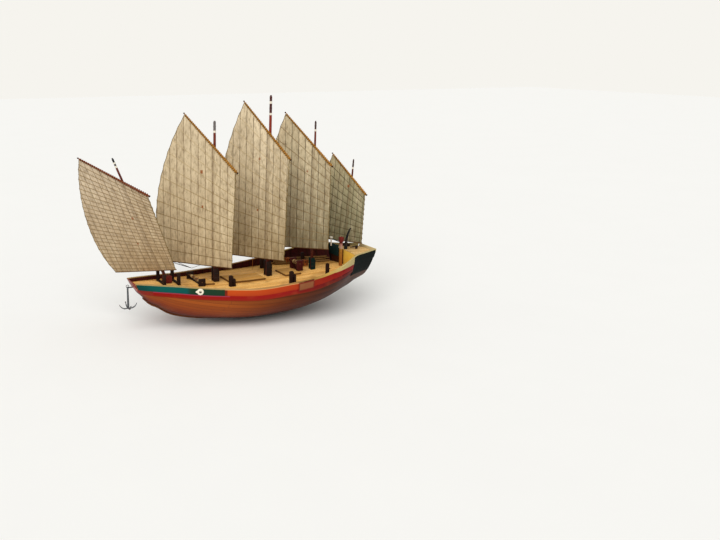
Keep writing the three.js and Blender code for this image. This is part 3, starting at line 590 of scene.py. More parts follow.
keel_finish = timber("keel_wood", "7c4526", "3d1c0f", (1, 20, 20), 0.45, 0.2, "a0683c")
dressed("keel", "keel_plank", 1.0, keel_finish, "keel_wood")


# Deck planking
# Straight ochre planks laid fore and aft over the beams, cambered, with dark caulked seams
# and butts that step from plank to plank. The poop has the same planks.
def deck_finish(name, light, dark, width=0.011):
    finish = Finish(name)
    x, y, _ = finish.split(finish.place())
    grain = finish.noise(28, (1.4, 30, 1), 5)
    dirt = finish.noise(9, (1, 1.6, 1), 3)
    board = y + 1
    seam = finish.every(board, width, 0.0009)
    butt = finish.every(x + 3 + finish.one_of(board, width, 3) * 0.22, 0.22, 0.0009)
    gap = seam.of("MAXIMUM", butt)
    shade = finish.coats(finish.mix(finish.one_of(board, width), light, dark),
                         ((grain - 0.4) * 0.8, "8c5618"), ((dirt - 0.5) * 2.6, "80501a"),
                         (gap * 0.75, "382008"))
    return finish.surface(shade, 0.5 + grain * 0.15, grain * 0.3 - gap, 0.4, coat_weight=0.05,
                          coat_roughness=0.3)


def boarded(piece, thickness, bevel=0.5):
    """Gives a laid sheet its thickness, inwards, and takes off its sharp edges."""
    worked(piece, "SOLIDIFY", thickness=thickness / 1000, offset=-1, use_even_offset=True)
    return bevelled(piece, bevel)


def planking(name, first, last, columns, rows, top):
    def place(s, t):
        x = between(first, last, s)
        edge = half_breadth(x, top(x) - 2.5) - 6.1
        y = between(-edge, edge, t)
        return at_station(x, y, deck_height(x, y, top))

    return boarded(laid(name, columns, rows, place), 2.5, 0.3)


deck_planks = deck_finish("deck_planks", "fcc878", "d89c4c")
deck = planking("deck_planking", POOP_BREAK + 5, BOW - 0.5, 84, 24, main_deck)
fitted(deck, deck_planks, "deck_wood", ["main_deck"])
poop_planks = deck_finish("poop_planks", "f2d090", "d0a868", 0.009)
dressed("poop_deck", "poop_planking", 0.4, poop_planks, "deck_wood", 50)


# Hatches
# Three raised panels on the deck, each with a brown coaming round it, ochre boards laid across
# inside, and two battens along it that hold the boards.
HATCHES = [
    # x, length, half width, height
    (237, 48, 62, 7),
    (40, 190, 66, 8),
    (-212, 90, 58, 8),
]
coamings, boards = [], []
for x, length, half, height in HATCHES:

    def rim(s, t):
        at = between(x - length / 2, x + length / 2, s)
        return at_station(at, between(-half, half, t), deck_height(at, 0) + height - 1.6)

    coamings.append(boarded(laid("coaming", 10, 8, rim), height + 3, 0.8))
    count = round(length / 11)
    for k in range(count):
        a = x - length / 2 + 4 + (length - 8) * k / count
        b = a + (length - 8) / count - 0.7
        top = deck_height((a + b) / 2, 0) + height
        boards.append(plank_box("board", (a, 4 - half, top - 3), (b, half - 4, top), 0.5))
    top = deck_height(x, 0) + height
    fore = deck_height(x + length / 2, 0) + height
    low, high = min(fore, top) - 2, max(fore, top) + 1.2
    for y in (-half / 2, half / 2):
        boards.append(plank_box("batten", (x - length / 2 + 3, y - 2.5, low),
                                (x + length / 2 - 3, y + 2.5, high), 0.4))
hatch_rim = timber("hatch_rims", "7c5428", "4a2e14", rough=0.55)
fitted(joined("hatch_coamings", coamings), hatch_rim, "deck_wood")
hatch_boards = joined("hatch_boards", boards)
board_finish = timber("hatch_boards", "d2a158", "a87836", (10, 1, 10), 0.5, 0.1, "e0b878")
fitted(hatch_boards, board_finish, "deck_wood")


# Bitts
# Thick dark posts in pairs at the sides for the sails' ropes, with a chamfered head and a pin
# of wood through them. All but the after pair have a shorter post behind.
def turned(name, start, end, profile, sides=16):
    """Turned wood between two points: a disc drawn out through (share along, radius)."""
    start, end = Vector(start) / 1000, Vector(end) / 1000
    length = (end - start).length
    bpy.ops.mesh.primitive_circle_add(vertices=sides, radius=profile[0][1] / 1000,
                                      fill_type="NGON")
    piece = bpy.context.object
    piece.name = piece.data.name = name
    bpy.ops.object.mode_set(mode="EDIT")
    bpy.ops.mesh.select_mode(type="FACE")
    bpy.ops.mesh.select_all(action="SELECT")
    for (before, thick), (after, thin) in zip(profile, profile[1:]):
        step = (after - before) * length
        bpy.ops.mesh.extrude_region_move(TRANSFORM_OT_translate={"value": (0, 0, step)})
        if abs(thin - thick) > 1e-9:
            k = thin / thick
            bpy.ops.transform.resize(value=(k, k, 1), center_override=(0, 0, 0))
    bpy.ops.mesh.select_all(action="SELECT")
    bpy.ops.mesh.normals_make_consistent(inside=False)
    bpy.ops.object.mode_set(mode="OBJECT")
    turn = (end - start).normalized().to_track_quat("Z", "Y").to_matrix().to_4x4()
    piece.data.transform(Matrix.Translation(start) @ turn)
    piece.data.update()
    return piece


BITTS = [
    # x, y, height, half thickness, posts
    (149, 106, 54, 8.9, 2),
    (-145, 165, 62, 8.9, 2),
    (-364, 131, 64, 7.4, 1),
]
bitts = []
for x, y, height, half, posts in BITTS:
    for side in (1, -1):
        foot = deck_height(x, y) - 1.5
        for dx, drop in ((0, 0), (-12.6, 16))[:posts]:
            middle = Vector((x + dx, side * y, 0))
            bitts.append(plank_box("bitt", middle + Vector((-half, -half, foot)), middle + Vector(
                (half, half, foot + height - drop - 2.5)), 0.9, 2.5))
        pin = foot + height - 26
        bitts.append(turned("pin", (x - 6, side * y - 17, pin), (x - 6, side * y + 17, pin),
                            [(0, 1.8), (0.02, 2.4), (0.5, 2.8), (0.98, 2.4), (1, 1.8)], 10))
post_finish = timber("dark_posts", "34201a", "100907", (12, 12, 1), 0.5, 0.05, "4c3024")
fitted(joined("bitts", bitts), post_finish, "deck_wood")


# Bulwarks
# The walls that stand on the deck's edge inside the planking, painted maroon, with the
# frames' heads showing as ribs under the rail.
def on_side(x, z, out=0.0):
    """A point on the port planking, moved out from it."""
    return at_station(x, half_breadth(x, z) + out, z)


def other_side(piece, name):
    """The starboard twin of a port piece, with a mesh of its own."""
    twin = piece.copy()
    twin.data = piece.data.copy()
    twin.name = twin.data.name = name
    bpy.context.scene.collection.objects.link(twin)
    twin.data.transform(Matrix.Scale(-1, 4, (0, 1, 0)))
    twin.data.flip_normals()
    return twin


def both_sides(piece, name, finish, slot, replaced=None):
    """Fits a port piece and its starboard twin. Both names have {} where the side goes."""
    for side in ("port", "starboard"):
        if side == "starboard":
            piece = other_side(piece, name.format(side))
        piece.name = piece.data.name = name.format(side)
        fitted(piece, finish, slot, [replaced.format(side)] if replaced else ())


def strip(name, first, last, columns, high, low, rows, out, thickness, bevel=0.5):
    """A board that follows the side between two heights."""
    def place(s, t):
        x = between(first, last, s)
        return on_side(x, between(high(x), low(x), t), out)

    def run(s, t):
        return between(first, last, s) / 1000, t

    return boarded(laid(name, columns, rows, place, run), thickness, bevel)


def under(distance):
    return lambda x: rail(x) - distance


bulwark_finish = timber("bulwark_maroon", "521a18", "2a0e0d", (1, 14, 14), 0.5, 0.1, "6a3020")
WALL = (2, -0.1, 4.9, 0.3)  # rows, out from the side, thickness, eased edge
wall = strip("wall", POOP_BREAK + 5, BOW - 1, 84, under(3.3), lambda x: main_deck(x) - 2.5, *WALL)
ribs, RIBS = [], 28
for k in range(RIBS):
    x = between(POOP_BREAK + 22, BOW - 40, k / (RIBS - 1))
    ribs.append(strip("rib", x - 3, x + 3, 2, under(3.4), lambda at: main_deck(at) + 0.2, 4, -4.8,
                      3.2))
rib_twins = [other_side(piece, "rib") for piece in ribs]
both_sides(wall, "bulwark_{}_wall", bulwark_finish, "maroon_paint", "bulwark_{}")
rib_finish = timber("rib_wood", "4c2418", "200e09", (12, 12, 1), 0.5)
fitted(joined("bulwark_ribs", ribs + rib_twins), rib_finish, "maroon_paint")


# Painted strakes
# The upper strake is red, going to crimson aft. Under it runs the heavy wale with rounded
# edges, crimson, with a thin pink line along its top where the bow panel is.
def paint(name, shade_of, rough=0.5, coat=0.02, wear="b05a34"):
    """Brushed paint on a strip: shade_of gives its colour from the strip's own map."""
    finish = Finish(name)
    length, down, _ = finish.split(finish.run())
    streak = finish.noise(30, (1.5, 30, 1), 4, finish.joint(length, down * 0.03))
    cloud = finish.noise(14, (1, 1, 1), 3)
    shade = finish.coats(shade_of(finish, length, down), ((streak - 0.45) * 0.5, "3a1512"),
                         (cloud - 0.55, wear))
    return finish.surface(shade, rough + cloud * 0.15, streak, 0.2, shine=0.04,
                          coat_weight=coat, coat_roughness=0.25)


def strake_red(finish, length, down):
    tone = finish.ramp(length + 0.55, (0.0, "781014"), (0.2, "881414"), (0.32, "8c2414"),
                       (0.44, "a83a18"), (0.7, "b84818"), (0.96, "bc4a16"))
    light = (down < 0.1) * (length > -0.22)
    # The first coat is painted shade: the strake's last few millimetres before the bow panel are darkened.
    return finish.coats(tone, ((length > 0.2105) * 0.85, "581612"),
                        (down * down * 0.45, "a02c1c"), (light * 0.8, "d8a468"))


def wale_crimson(finish, length, down):
    tone = finish.ramp(length + 0.55, (0.0, "4c1418"), (0.25, "641418"), (0.5, "901a18"),
                       (1.0, "90100e"))
    pink = (down < 0.16) * (length > 0.2)
    return finish.coats(tone, (down * down * 0.6, "843018"), (pink * 0.6, "94425a"))


# Aft the strakes fall away from the rail: station, fall of the strake, fall of the wale.
FALL = [(-491, 36, 24), (-455, 29, 18), (-330, 8, 6), (-225, 6, 6), (-100, 0, 0), (700, 0, 0)]


def fall(x, column):
    if x <= FALL[0][0]:
        return FALL[0][column]
    a, b = next((a, b) for a, b in zip(FALL, FALL[1:]) if x <= b[0])
    return between(a[column], b[column], (x - a[0]) / (b[0] - a[0]))


def strake_top(x):
    return rail(x) - 3.3 - fall(x, 1)


def strake_foot(x):
    return rail(x) - 35 - (fall(x, 1) + fall(x, 2)) / 2


def wale_top(x):
    return strake_foot(x) - 0.3


def wale_foot(x):
    return rail(x) - 59 - fall(x, 2)


strake_paint = paint("strake_paint", strake_red, wear="9c3e24")
wale_paint = paint("wale_paint", wale_crimson)
STRAKE_AFT, STRAKE_FORE, WALE_FORE = -490.9, 221.7, 540.4
STRAKE = (3.3, 2.4, 0.6)  # out from the side, thickness, eased edge
strake = strip("strake", STRAKE_AFT, STRAKE_FORE, 60, strake_top, strake_foot, 4, *STRAKE)
both_sides(strake, "strake_{}", strake_paint, "red_paint", "upper_strake_{}")
wale = strip("wale", STRAKE_AFT, WALE_FORE, 84, wale_top, wale_foot, 5, 4.9, 4.0, 1.4)
both_sides(wale, "wale_{}_plank", wale_paint, "crimson_paint", "wale_{}")


# Bow panels
# The bow's upper strake is teal, dark green aft of the eye. The eye is a white turned disc
# with a small corner before it, a grey ring, a black pupil and a white glint.
def panel_teal(finish, length, down):
    tone = finish.ramp(length, (0.0, "1c3622"), (0.37, "1a3826"), (0.386, "08504c"),
                       (0.5, "0a544e"), (0.6, "0a423e"))
    return finish.coats(tone, ((down - 0.8) * 1.5, "123a38"), ((down < 0.06) * 0.8, "b09c60"))


panel_paint = paint("panel_paint", panel_teal, wear="125c56")
panel = strip("panel", STRAKE_FORE + 0.3, BOW - 2, 40, strake_top, strake_foot, 6, *STRAKE)
both_sides(panel, "bow_panel_{}_board", panel_paint, "teal_paint", "bow_panel_{}")

EYE_X = 328
eye_z = rail(EYE_X) - 19
ahead = (on_side(EYE_X + 2, eye_z) - on_side(EYE_X - 2, eye_z)).normalized()
up = (on_side(EYE_X, eye_z + 2) - on_side(EYE_X, eye_z - 2)).normalized()
facing = up.cross(ahead).normalized()
if facing.y < 0:
    facing.negate()
eye_at = on_side(EYE_X, eye_z, 2.6) * 1000


def on_eye(name, start, end, profile, sides, aside=Vector()):
    at = eye_at + aside
    return turned(name, at + facing * start, at + facing * end, profile, sides)


disc = on_eye("eye_disc", 0, 4.2, [(0, 15.5), (0.55, 15.5), (0.8, 14.8), (1, 13)], 40)
corner = on_eye("eye_corner", 0, 2.6, [(0, 5.6), (0.6, 5.6), (1, 4.6)], 20, ahead * 16.5)
glint = on_eye("eye_glint", 4.6, 5.7, [(0, 1.9), (0.7, 1.9), (1, 1.4)], 16, up * 2.2 - ahead * 1.4)
pupil = on_eye("eye_pupil", 3.6, 5.3, [(0, 4.8), (0.6, 4.8), (0.85, 4.2), (1, 3.4)], 28)
ring = on_eye("eye_ring", 3.4, 4.5, [(0, 6.2), (0.7, 6.2), (1, 5.6)], 32)
eye_white = timber("eye_white", "f0ead8", "d8ceb8", (6, 6, 6), 0.35, 0.3, "b8a888", 20, 0.4)
eye_black = timber("eye_black", "1a1614", "0a0807", (6, 6, 6), 0.3, 0.3)
eye_grey = timber("eye_grey", "8c8474", "6a6254", (6, 6, 6), 0.35, 0.3)
for parts, name, finish in (([disc, corner, glint], "eye_white", eye_white),
                            ([pupil], "eye_pupil", eye_black), ([ring], "eye_ring", eye_grey)):
    both_sides(joined(name, parts), name + "_{}", finish, "teal_paint")


# Name boards
# A blank board in a dark red frame on each side, fixed over the strake and the wale.
BOARD_AFT, BOARD_FORE, BOARD_TOP, BOARD_FOOT, SLAT = -215, -133, 5, 46, 4.5
board_back = strip("board", BOARD_AFT + 2, BOARD_FORE - 2, 8, under(BOARD_TOP + 2),
                   under(BOARD_FOOT - 2), 4, 7.4, 1.9, 0.3)
board_paint = timber("board_wood", "945c38", "70402a", (1, 14, 14), 0.55, 0.1, "a87850")
frame_red = timber("board_frame", "8c3424", "5c1c16", (6, 6, 6), 0.45, 0.2)
slats = []
for aft, fore, columns, top, foot, rows in (
        (BOARD_AFT, BOARD_FORE, 8, BOARD_TOP, BOARD_TOP + SLAT, 2),
        (BOARD_AFT, BOARD_FORE, 8, BOARD_FOOT - SLAT, BOARD_FOOT, 2),
        (BOARD_AFT, BOARD_AFT + SLAT, 2, BOARD_TOP, BOARD_FOOT, 6),
        (BOARD_FORE - SLAT, BOARD_FORE, 2, BOARD_TOP, BOARD_FOOT, 6)):
    slats.append(strip("slat", aft, fore, columns, under(top), under(foot), rows, 8.6, 3.0, 0.7))
both_sides(board_back, "name_board_panel_{}", board_paint, "board_wood", "name_board_{}")
both_sides(joined("frame", slats), "name_board_frame_{}", frame_red, "board_wood")


# Cap rails
# A flat rail over the bulwark and the strake all round, pale and rubbed, ochre amidships and
# cream aft. On the poop it stands on a low wall, and aft a pale strip fills in under it.
def cap_tone(finish, length, down):
    return finish.ramp(length + 0.7, (0.0, "a89c6c"), (0.18, "b4a474"), (0.3, "bcaa70"),
                       (0.4, "c09c50"), (0.5, "9c7440"), (0.72, "a88050"), (0.9, "b8986a"),
                       (1.0, "a88c5c"))


cap_paint = paint("cap_paint", cap_tone, 0.5, 0.05, "d8bc88")


def cap_place(s, t):
    x = between(STERN + 3, BOW - 1, s)
    return at_station(x, along("beam", x) + between(-8, 4, t), rail(x))


def cap_run(s, t):
    return between(STERN + 3, BOW - 1, s) / 1000, t


cap = boarded(laid("cap", 120, 2, cap_place, cap_run), 3, 0.8)
low_wall = strip("poop_wall", STERN + 3, POOP_BREAK - 1, 16, under(1),
                 lambda x: poop_deck(x) - 2.5, *WALL)
filler = strip("filler", STRAKE_AFT, -215, 28, under(2.6), lambda x: strake_top(x) + 0.4, 3,
               *STRAKE[:2], 0.4)
cap = joined("cap", [cap, low_wall, filler])
both_sides(cap, "cap_rail_{}_plank", cap_paint, "rail_wood", "cap_rail_{}")


# Quarter panels and transoms
# Dark teal boards clothe the quarters and the stern, whose top is pale. The quarters are laid in
# four widths with dark seams. A red-brown board with a pink lower edge closes the bow.
def quarter_teal(finish, length, down):
    tone = finish.ramp(length + 0.7, (0.0, "0e1614"), (0.1, "0c1412"), (0.2, "0a1614"))
    return finish.mix(finish.every(down, 0.25, 0.014), tone, "030404")


quarter_paint = paint("quarter_paint", quarter_teal, 0.6, 0.0, "101c1a")
quarter = strip("quarter", STERN + 3, STRAKE_AFT - 0.4, 20, under(3.3), under(108), 12, *STRAKE)
both_sides(quarter, "quarter_{}_board", quarter_paint, "dark_teal_paint", "quarter_panel_{}")


def end_board(name, dark, light, across, edge, share, edge_paint, rough, **fixed):
    """Brushed boards across an end, with another paint where edge(height) is 1."""
    finish = Finish(name)
    height = finish.split(finish.place())[2]
    grain = finish.noise(40, (across, 1, across), 4)
    shade = finish.mix(edge(height) * share, finish.mix(grain, dark, light), edge_paint)
    return finish.surface(shade, rough + grain * 0.1, grain, 0.3, **fixed)


stern_finish = end_board("stern_paint", "0c1816", "1c302c", 14, lambda height: height > 0.118,
                         0.9, "d0bc8c", 0.5)
dressed("stern_transom", "stern_board", 0.8, stern_finish, "dark_teal_paint", 40)
bow_finish = end_board("bow_board_paint", "6c1f12", "943420", 12, lambda height: height < 0.058,
                       0.8, "c07868", 0.45, coat_weight=0.15)
dressed("bow_transom", "bow_board", 0.8, bow_finish, "maroon_paint", 40)


# Poop front
# Upright boards close the poop's front: yellow to port, and dark brown to starboard as painted shade.
# Before them are a dark board and a painted post, with a bar from the post to a pale bracket.
half = half_breadth(POOP_BREAK, main_deck(POOP_BREAK)) - 7
boards = {"yellow": [], "brown": []}
count = 22
for k in range(count):
    a, b = between(-half, half, k / count) + 0.3, between(-half, half, (k + 1) / count) - 0.3
    low = min(deck_height(-535, a), deck_height(-535, b)) - 2.2
    high = min(deck_height(-537, a, poop_deck), deck_height(-537, b, poop_deck)) - 3.1
    boards["yellow" if a > -6 else "brown"].append(
        plank_box("upright", (-536.7, a, low), (-533, b, high), 0.6))
yellow = timber("bulkhead_yellow", "ffd85c", "cc9830", (12, 12, 1), 0.5, 0.15, "f0cc7c")
# Painted shade: the starboard boards are painted dark brown for the shade on that side of the poop's front.
brown = timber("bulkhead_brown", "4c2818", "24100a", (12, 12, 1), 0.5, 0.1, "6a3c26")
fitted(joined("bulkhead_boards_port", boards["yellow"]), yellow, "yellow_paint", ["poop_bulkhead"])
fitted(joined("bulkhead_boards_starboard", boards["brown"]), brown, "yellow_paint")
screen_finish = timber("screen_paint", "1c3a38", "0c1817", (12, 12, 1), 0.5, 0.2, "305450")
dressed("poop_screen", "poop_screen_board", 0.8, screen_finish, "dark_teal_paint")

post = Finish("post_paint")
_, _, height = post.split(post.place())
post_grain = post.noise(40, (10, 10, 1), 4)
bands = post.ramp(height * 4, (0.0, "7c2c18"), (0.2, "a8682c"), (0.54, "c08c3c"),
                  (0.56, "d8b8a4"), (0.65, "b88078"), (0.67, "6c2420"), (0.8, "7c2c24"))
post.surface(post.mix(post_grain * 0.4, bands, "2c100c"), 0.5, post_grain, 0.3)
dressed("poop_post", "poop_post_timber", 0.9, post, "maroon_paint")
BAR_X, BAR_HEIGHT, BAR_END = -506, 170, -80
bar = turned("poop_bar", (BAR_X, 15, BAR_HEIGHT), (BAR_X, BAR_END, BAR_HEIGHT),
             [(0, 2.2), (0.5, 2.6), (1, 2.0)], 12)
fitted(bar, screen_finish, "dark_teal_paint")
screen_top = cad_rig.box("poop_screen")[1].z * 1000
bracket_parts = [
    plank_box("stanchion", (BAR_X - 3, BAR_END - 3, screen_top - 6),
              (BAR_X + 3, BAR_END + 3, BAR_HEIGHT + 8), 0.6),
    plank_box("bracket", (BAR_X - 5, BAR_END - 8, BAR_HEIGHT + 2),
              (BAR_X + 5, BAR_END + 7, BAR_HEIGHT + 11), 1.2)]
bracket_white = timber("bracket_white", "f0ece2", "ccc4b4", (8, 8, 8), 0.5)
fitted(joined("poop_bracket", bracket_parts), bracket_white, "dark_teal_paint")


# Masts
# Tapered poles painted red-brown. Each has hoops, a rounded truck, and a white band under its
# darker head, which is grey on the second. The first and third have a white ring at the tip.
def mast_finish(name, low, high, band, head, length, tip_ring):
    """Paint in lengths up the mast: the piece's own map holds the share of its length."""
    finish = Finish(name)
    share, _, _ = finish.split(finish.run())
    grain = finish.noise(40, (10, 10, 1), 4)
    stain = finish.noise(16, (2, 2, 1), 2)
    white = (share > band - 5 / length) * (share < band + 5 / length)
    if tip_ring:
        white = white.of("MAXIMUM", (share > 0.955) * (share < 0.968))
    shade = finish.ramp(share, (0.0, low), (band - 0.012, high), (band + 0.012, head))
    shade = finish.coats(shade, (white, "e4dccb"), ((grain - 0.4) * 0.7, "1c0e0a"),
                         ((stain - 0.55) * 0.8, "9a6a50"))
    return finish.surface(shade, 0.42 + grain * 0.15, grain, 0.25, coat_weight=0.15)


MASTS = [
    # x, y, foot's height, degrees forward, length, foot radius, top radius
    (429, 0, 56, 22.3, 653, 8, 4.5),
    (188, 0, 38, -0.5, 769, 9, 6),
    (-96, 0, 35, -0.9, 882, 10, 6),
    (-347, 0, 41, -0.6, 748, 8, 4.5),
    (-590, -70, 112, -3.9, 469, 7, 4),
]
MAST_PAINTS = [
    # low, high, white band at, head
    ("4c2018", "5e2018", 0.934, "2c2c2e"),
    ("40180f", "6a2418", 0.935, "6a6462"),
    ("4a1810", "842c1c", 0.90, "4c2a28"),
    ("40180f", "6c2c1c", 0.938, "4c3c38"),
    ("38180f", "582418", 0.90, "44302c"),
]


def mast_axis(mast):
    rake = math.radians(mast[3])
    return Vector((math.sin(rake), 0, math.cos(rake)))


for number, (mast, paints) in enumerate(zip(MASTS, MAST_PAINTS), 1):
    x, y, z, _, length, foot, top = mast
    axis = mast_axis(mast)
    deck_here = poop_deck if x < POOP_BREAK else main_deck
    heel = deck_height(x, y, deck_here) + 0.7 - z
    low = Vector((x, y, z)) + axis * heel
    high = Vector((x, y, z)) + axis * length
    profile, tall = [(0, foot)], length - heel

    def thick(share):
        return between(foot, top, share)

    for hoop in (0.13, 0.6, paints[2] + 0.03):
        profile += [(hoop - 3 / tall, thick(hoop)), (hoop - 2.6 / tall, thick(hoop) + 0.5),
                    (hoop + 2.6 / tall, thick(hoop) + 0.5), (hoop + 3 / tall, thick(hoop))]
    profile += [(1 - 11 / tall, top), (1 - 10.5 / tall, top + 0.6), (1 - 8 / tall, top + 0.6),
                (1 - 7.5 / tall, top - 0.8), (1 - 4 / tall, top - 0.6), (1 - 1.5 / tall, top - 1.6),
                (1, max(0.8, top - 3.4))]
    pole = turned(f"mast_{number}_pole", low, high, profile, 24)
    while pole.data.uv_layers:
        pole.data.uv_layers.remove(pole.data.uv_layers[0])
    layer = pole.data.uv_layers.new(name="run")
    for loop in pole.data.loops:
        point = pole.data.vertices[loop.vertex_index].co * 1000
        layer.data[loop.index].uv = ((point - low).dot(axis) / tall, 0)
    finish = mast_finish(f"mast_{number}_paint", *paints, tall, number in (1, 3))
    slot = "mast_grey" if number == 2 else "mast_paint"
    fitted(pole, finish, slot, [f"mast_{number}"])


# Mast steps
# Two cheeks and a back board hold each mast's foot, bolted through. The foremast leans out
# of a red block between two pairs of posts on sills.
dark = timber("step_wood", "30201a", "0e0807", (12, 12, 1), 0.5, 0.1, "4c3026")
iron = timber("hoop_iron", "262829", "0c0d0f", (4, 4, 4), 0.42, 0.0, "6a4a38", 60)
teal = timber("step_teal", "0c2826", "040f0e", (12, 12, 1), 0.5, 0.1, "14383a")
red = timber("step_red", "7c2a20", "44120e", (12, 12, 1), 0.5, 0.1, "b87860")
dressed("tabernacle_1", "step_1_block", 0.9, red, "red_paint")
for number, finish, slot in ((2, dark, "dark_wood"), (3, dark, "dark_wood"),
                             (4, teal, "dark_teal_paint"), (5, dark, "dark_wood")):
    node = f"tabernacle_{number}"
    dressed(node, f"step_{number}_cheeks", 0.8, finish, slot)
    low, high = (v * 1000 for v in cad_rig.box(node))
    if number == 5:
        continue
    clamps = []
    for share in (0.3, 0.62):
        z = between(low.z, high.z, share)
        for y, side in ((high.y, 1), (low.y, -1)):
            clamps.append(plank_box("strap", (low.x + 1, y + side * 0.2 - 0.6, z - 2),
                                    (high.x - 1, y + side * 0.2 + 0.6, z + 2), 0.3))
            for bolt in (0.25, 0.75):
                x = between(low.x, high.x, bolt)
                clamps.append(turned("bolt", (x, y, z), (x, y + side * 2.2, z),
                                     [(0, 1.6), (0.7, 1.6), (1, 0.9)], 10))
    fitted(joined(f"step_{number}_straps", clamps), iron, slot)
for name in ("fore", "aft"):
    dressed(f"gallows_{name}", f"gallows_{name}_posts", 1.0, dark, "dark_wood")


# Windlasses
# A barrel on pins between two cheeks, thinner where the rope lies, with bars through it. The
# long dark one is in the bow, the thick one with maroon cheeks is before the poop.
def torus(major, minor, around, across):
    """A ring round the Z axis, its radii in metres."""
    bpy.ops.mesh.primitive_torus_add(major_radius=major, minor_radius=minor,
                                     major_segments=around, minor_segments=across)
    return bpy.context.object


drum_wood = timber("drum_wood", "7a5434", "46291a", (10, 1, 10), 0.55, 0.05, "9a7450")
rope_finish = timber("windlass_rope", "c0a474", "8a6e44", (20, 20, 20), 0.85, 0.0, "d8c298", 90)
maroon = timber("cheek_maroon", "521c1a", "2a0e0e", (12, 12, 1), 0.45, 0.2, "74382c")
for name, x, y, axle, half, radius, finish, slot in (
        ("fore", 287, 0, 62.15, 78, 6, dark, "dark_wood"),
        ("main", -278, -36, 76.16, 36, 10, maroon, "maroon_paint")):
    dressed(f"windlass_frame_{name}", f"windlass_{name}_cheeks", 0.9, finish, slot)
    reach, thin = half - 5.3, radius * 0.86
    profile = [(0, radius)]
    for start, end in ((0.07, 0.3), (0.43, 0.57), (0.7, 0.93)):
        profile += [(start - 0.01, radius), (start, thin), (end, thin), (end + 0.01, radius)]
    barrel = turned("barrel", (x, y - reach, axle), (x, y + reach, axle),
                    [*profile, (1, radius)], 16)
    pins = turned("pins", (x, y - half - 4.5, axle), (x, y + half + 4.5, axle),
                  [(0, 2.6), (0.01, 3), (0.99, 3), (1, 2.6)], 12)

    def on_barrel(share):
        return Vector((x, between(y - reach, y + reach, share), axle))

    bars = []
    for share, turn in ((0.03, 0.4), (0.365, 1.2), (0.635, 2.0), (0.97, 2.8)):
        arm = Vector((math.cos(turn), 0, math.sin(turn))) * (radius + 7)
        bars.append(turned("bar", on_barrel(share) - arm, on_barrel(share) + arm,
                           [(0, 1.0), (0.06, 1.5), (0.94, 1.5), (1, 1.0)], 8))
    drum = joined(f"windlass_{name}_barrel", [barrel, pins, *bars])
    fitted(drum, drum_wood, "drum_wood", [f"windlass_drum_{name}"], f"drum_{name}")
    loops = []
    for share in (0.12, 0.15, 0.18, 0.21, 0.24, 0.5, 0.76, 0.79, 0.82, 0.85):
        loop = torus((thin + 1) / 1000, 0.0011, 24, 8)
        loop.data.transform(Matrix.Translation(on_barrel(share) / 1000)
                            @ Matrix.Rotation(math.pi / 2, 4, "X"))
        loops.append(loop)
    fitted(joined(f"windlass_{name}_rope", loops), rope_finish, "drum_wood", body=f"drum_{name}")


# Chests
# Two deck chests of orange-brown boards with an overhanging lid, iron straps and a hasp.
chest_finish = timber("chest_wood", "b05c26", "6a3416", (1, 10, 10), 0.5, 0.15, "d89858")
for name in ("port", "starboard"):
    low, high = (v * 1000 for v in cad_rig.box(f"chest_{name}"))
    body = plank_box("body", low + Vector((1.2, 1.2, 0)), high - Vector((1.2, 1.2, 6)), 0.8)
    lid = plank_box("lid", (low.x, low.y, high.z - 5.6), high, 1.2)
    rim = plank_box("rim", low + Vector((0.4, 0.4, 0)),
                    (high.x - 0.4, high.y - 0.4, low.z + 4), 0.6)
    fitted(joined(f"chest_{name}_box", [body, lid, rim]), chest_finish, "chest_wood",
           [f"chest_{name}"])
    straps = []
    for share in (0.22, 0.78):
        x = between(low.x, high.x, share)
        straps.append(plank_box("strap", (x - 1.6, low.y - 0.3, low.z + 1),
                                (x + 1.6, high.y + 0.3, high.z + 0.6), 0.4))
    middle = (low.x + high.x) / 2
    straps.append(plank_box("hasp", (middle - 2.2, high.y - 2, high.z - 11),
                            (middle + 2.2, high.y + 1, high.z - 3)))
    fitted(joined(f"chest_{name}_iron", straps), iron, "chest_wood")


# Spare spars
# Spare poles lie stowed along the starboard side of the deck before the poop, in a heap on two
# dark chocks.
SPARS = [
    # fore end, after end, distance from the side, height, radius
    (-225, -505, 14, 5, 6), (-250, -515, 28, 5, 6), (-240, -490, 42, 5, 6),
    (-262, -500, 21, 15, 5.5), (-235, -478, 35, 15, 5.5), (-280, -520, 9, 17, 5),
    (-300, -495, 28, 25, 5), (-270, -505, 16, 26, 4.5),
]
spars, chocks = [], []
for x0, x1, out, up, thick in SPARS:
    ends = []
    for x in (x0, x1):
        side = half_breadth(x, main_deck(x))
        ends.append((x, out - side + 6, deck_height(x, side - out) + 3 + up))
    spars.append(turned("spar", *ends, [(0, thick * 0.7), (0.02, thick), (0.5, thick * 0.9),
                                        (0.98, thick * 0.7), (1, thick * 0.5)], 12))
spar_wood = timber("spar_wood", "9c7440", "3c2614", (1, 14, 14), 0.55, 0.0, "d0a468", 30)
for x in (-300, -460):
    side = 6 - half_breadth(x, main_deck(x))
    foot = deck_height(x, side + 20)
    chocks.append(plank_box("chock", (x - 4, side + 2, foot - 1),
                            (x + 4, side + 48, foot + 4), 0.6))
spar_dark = timber("spar_dark", "44281a", "1e100a", (1, 14, 14), 0.55)
fitted(joined("spare_spars", spars), spar_wood, "deck_wood")
fitted(joined("spar_chocks", chocks), spar_dark, "deck_wood")


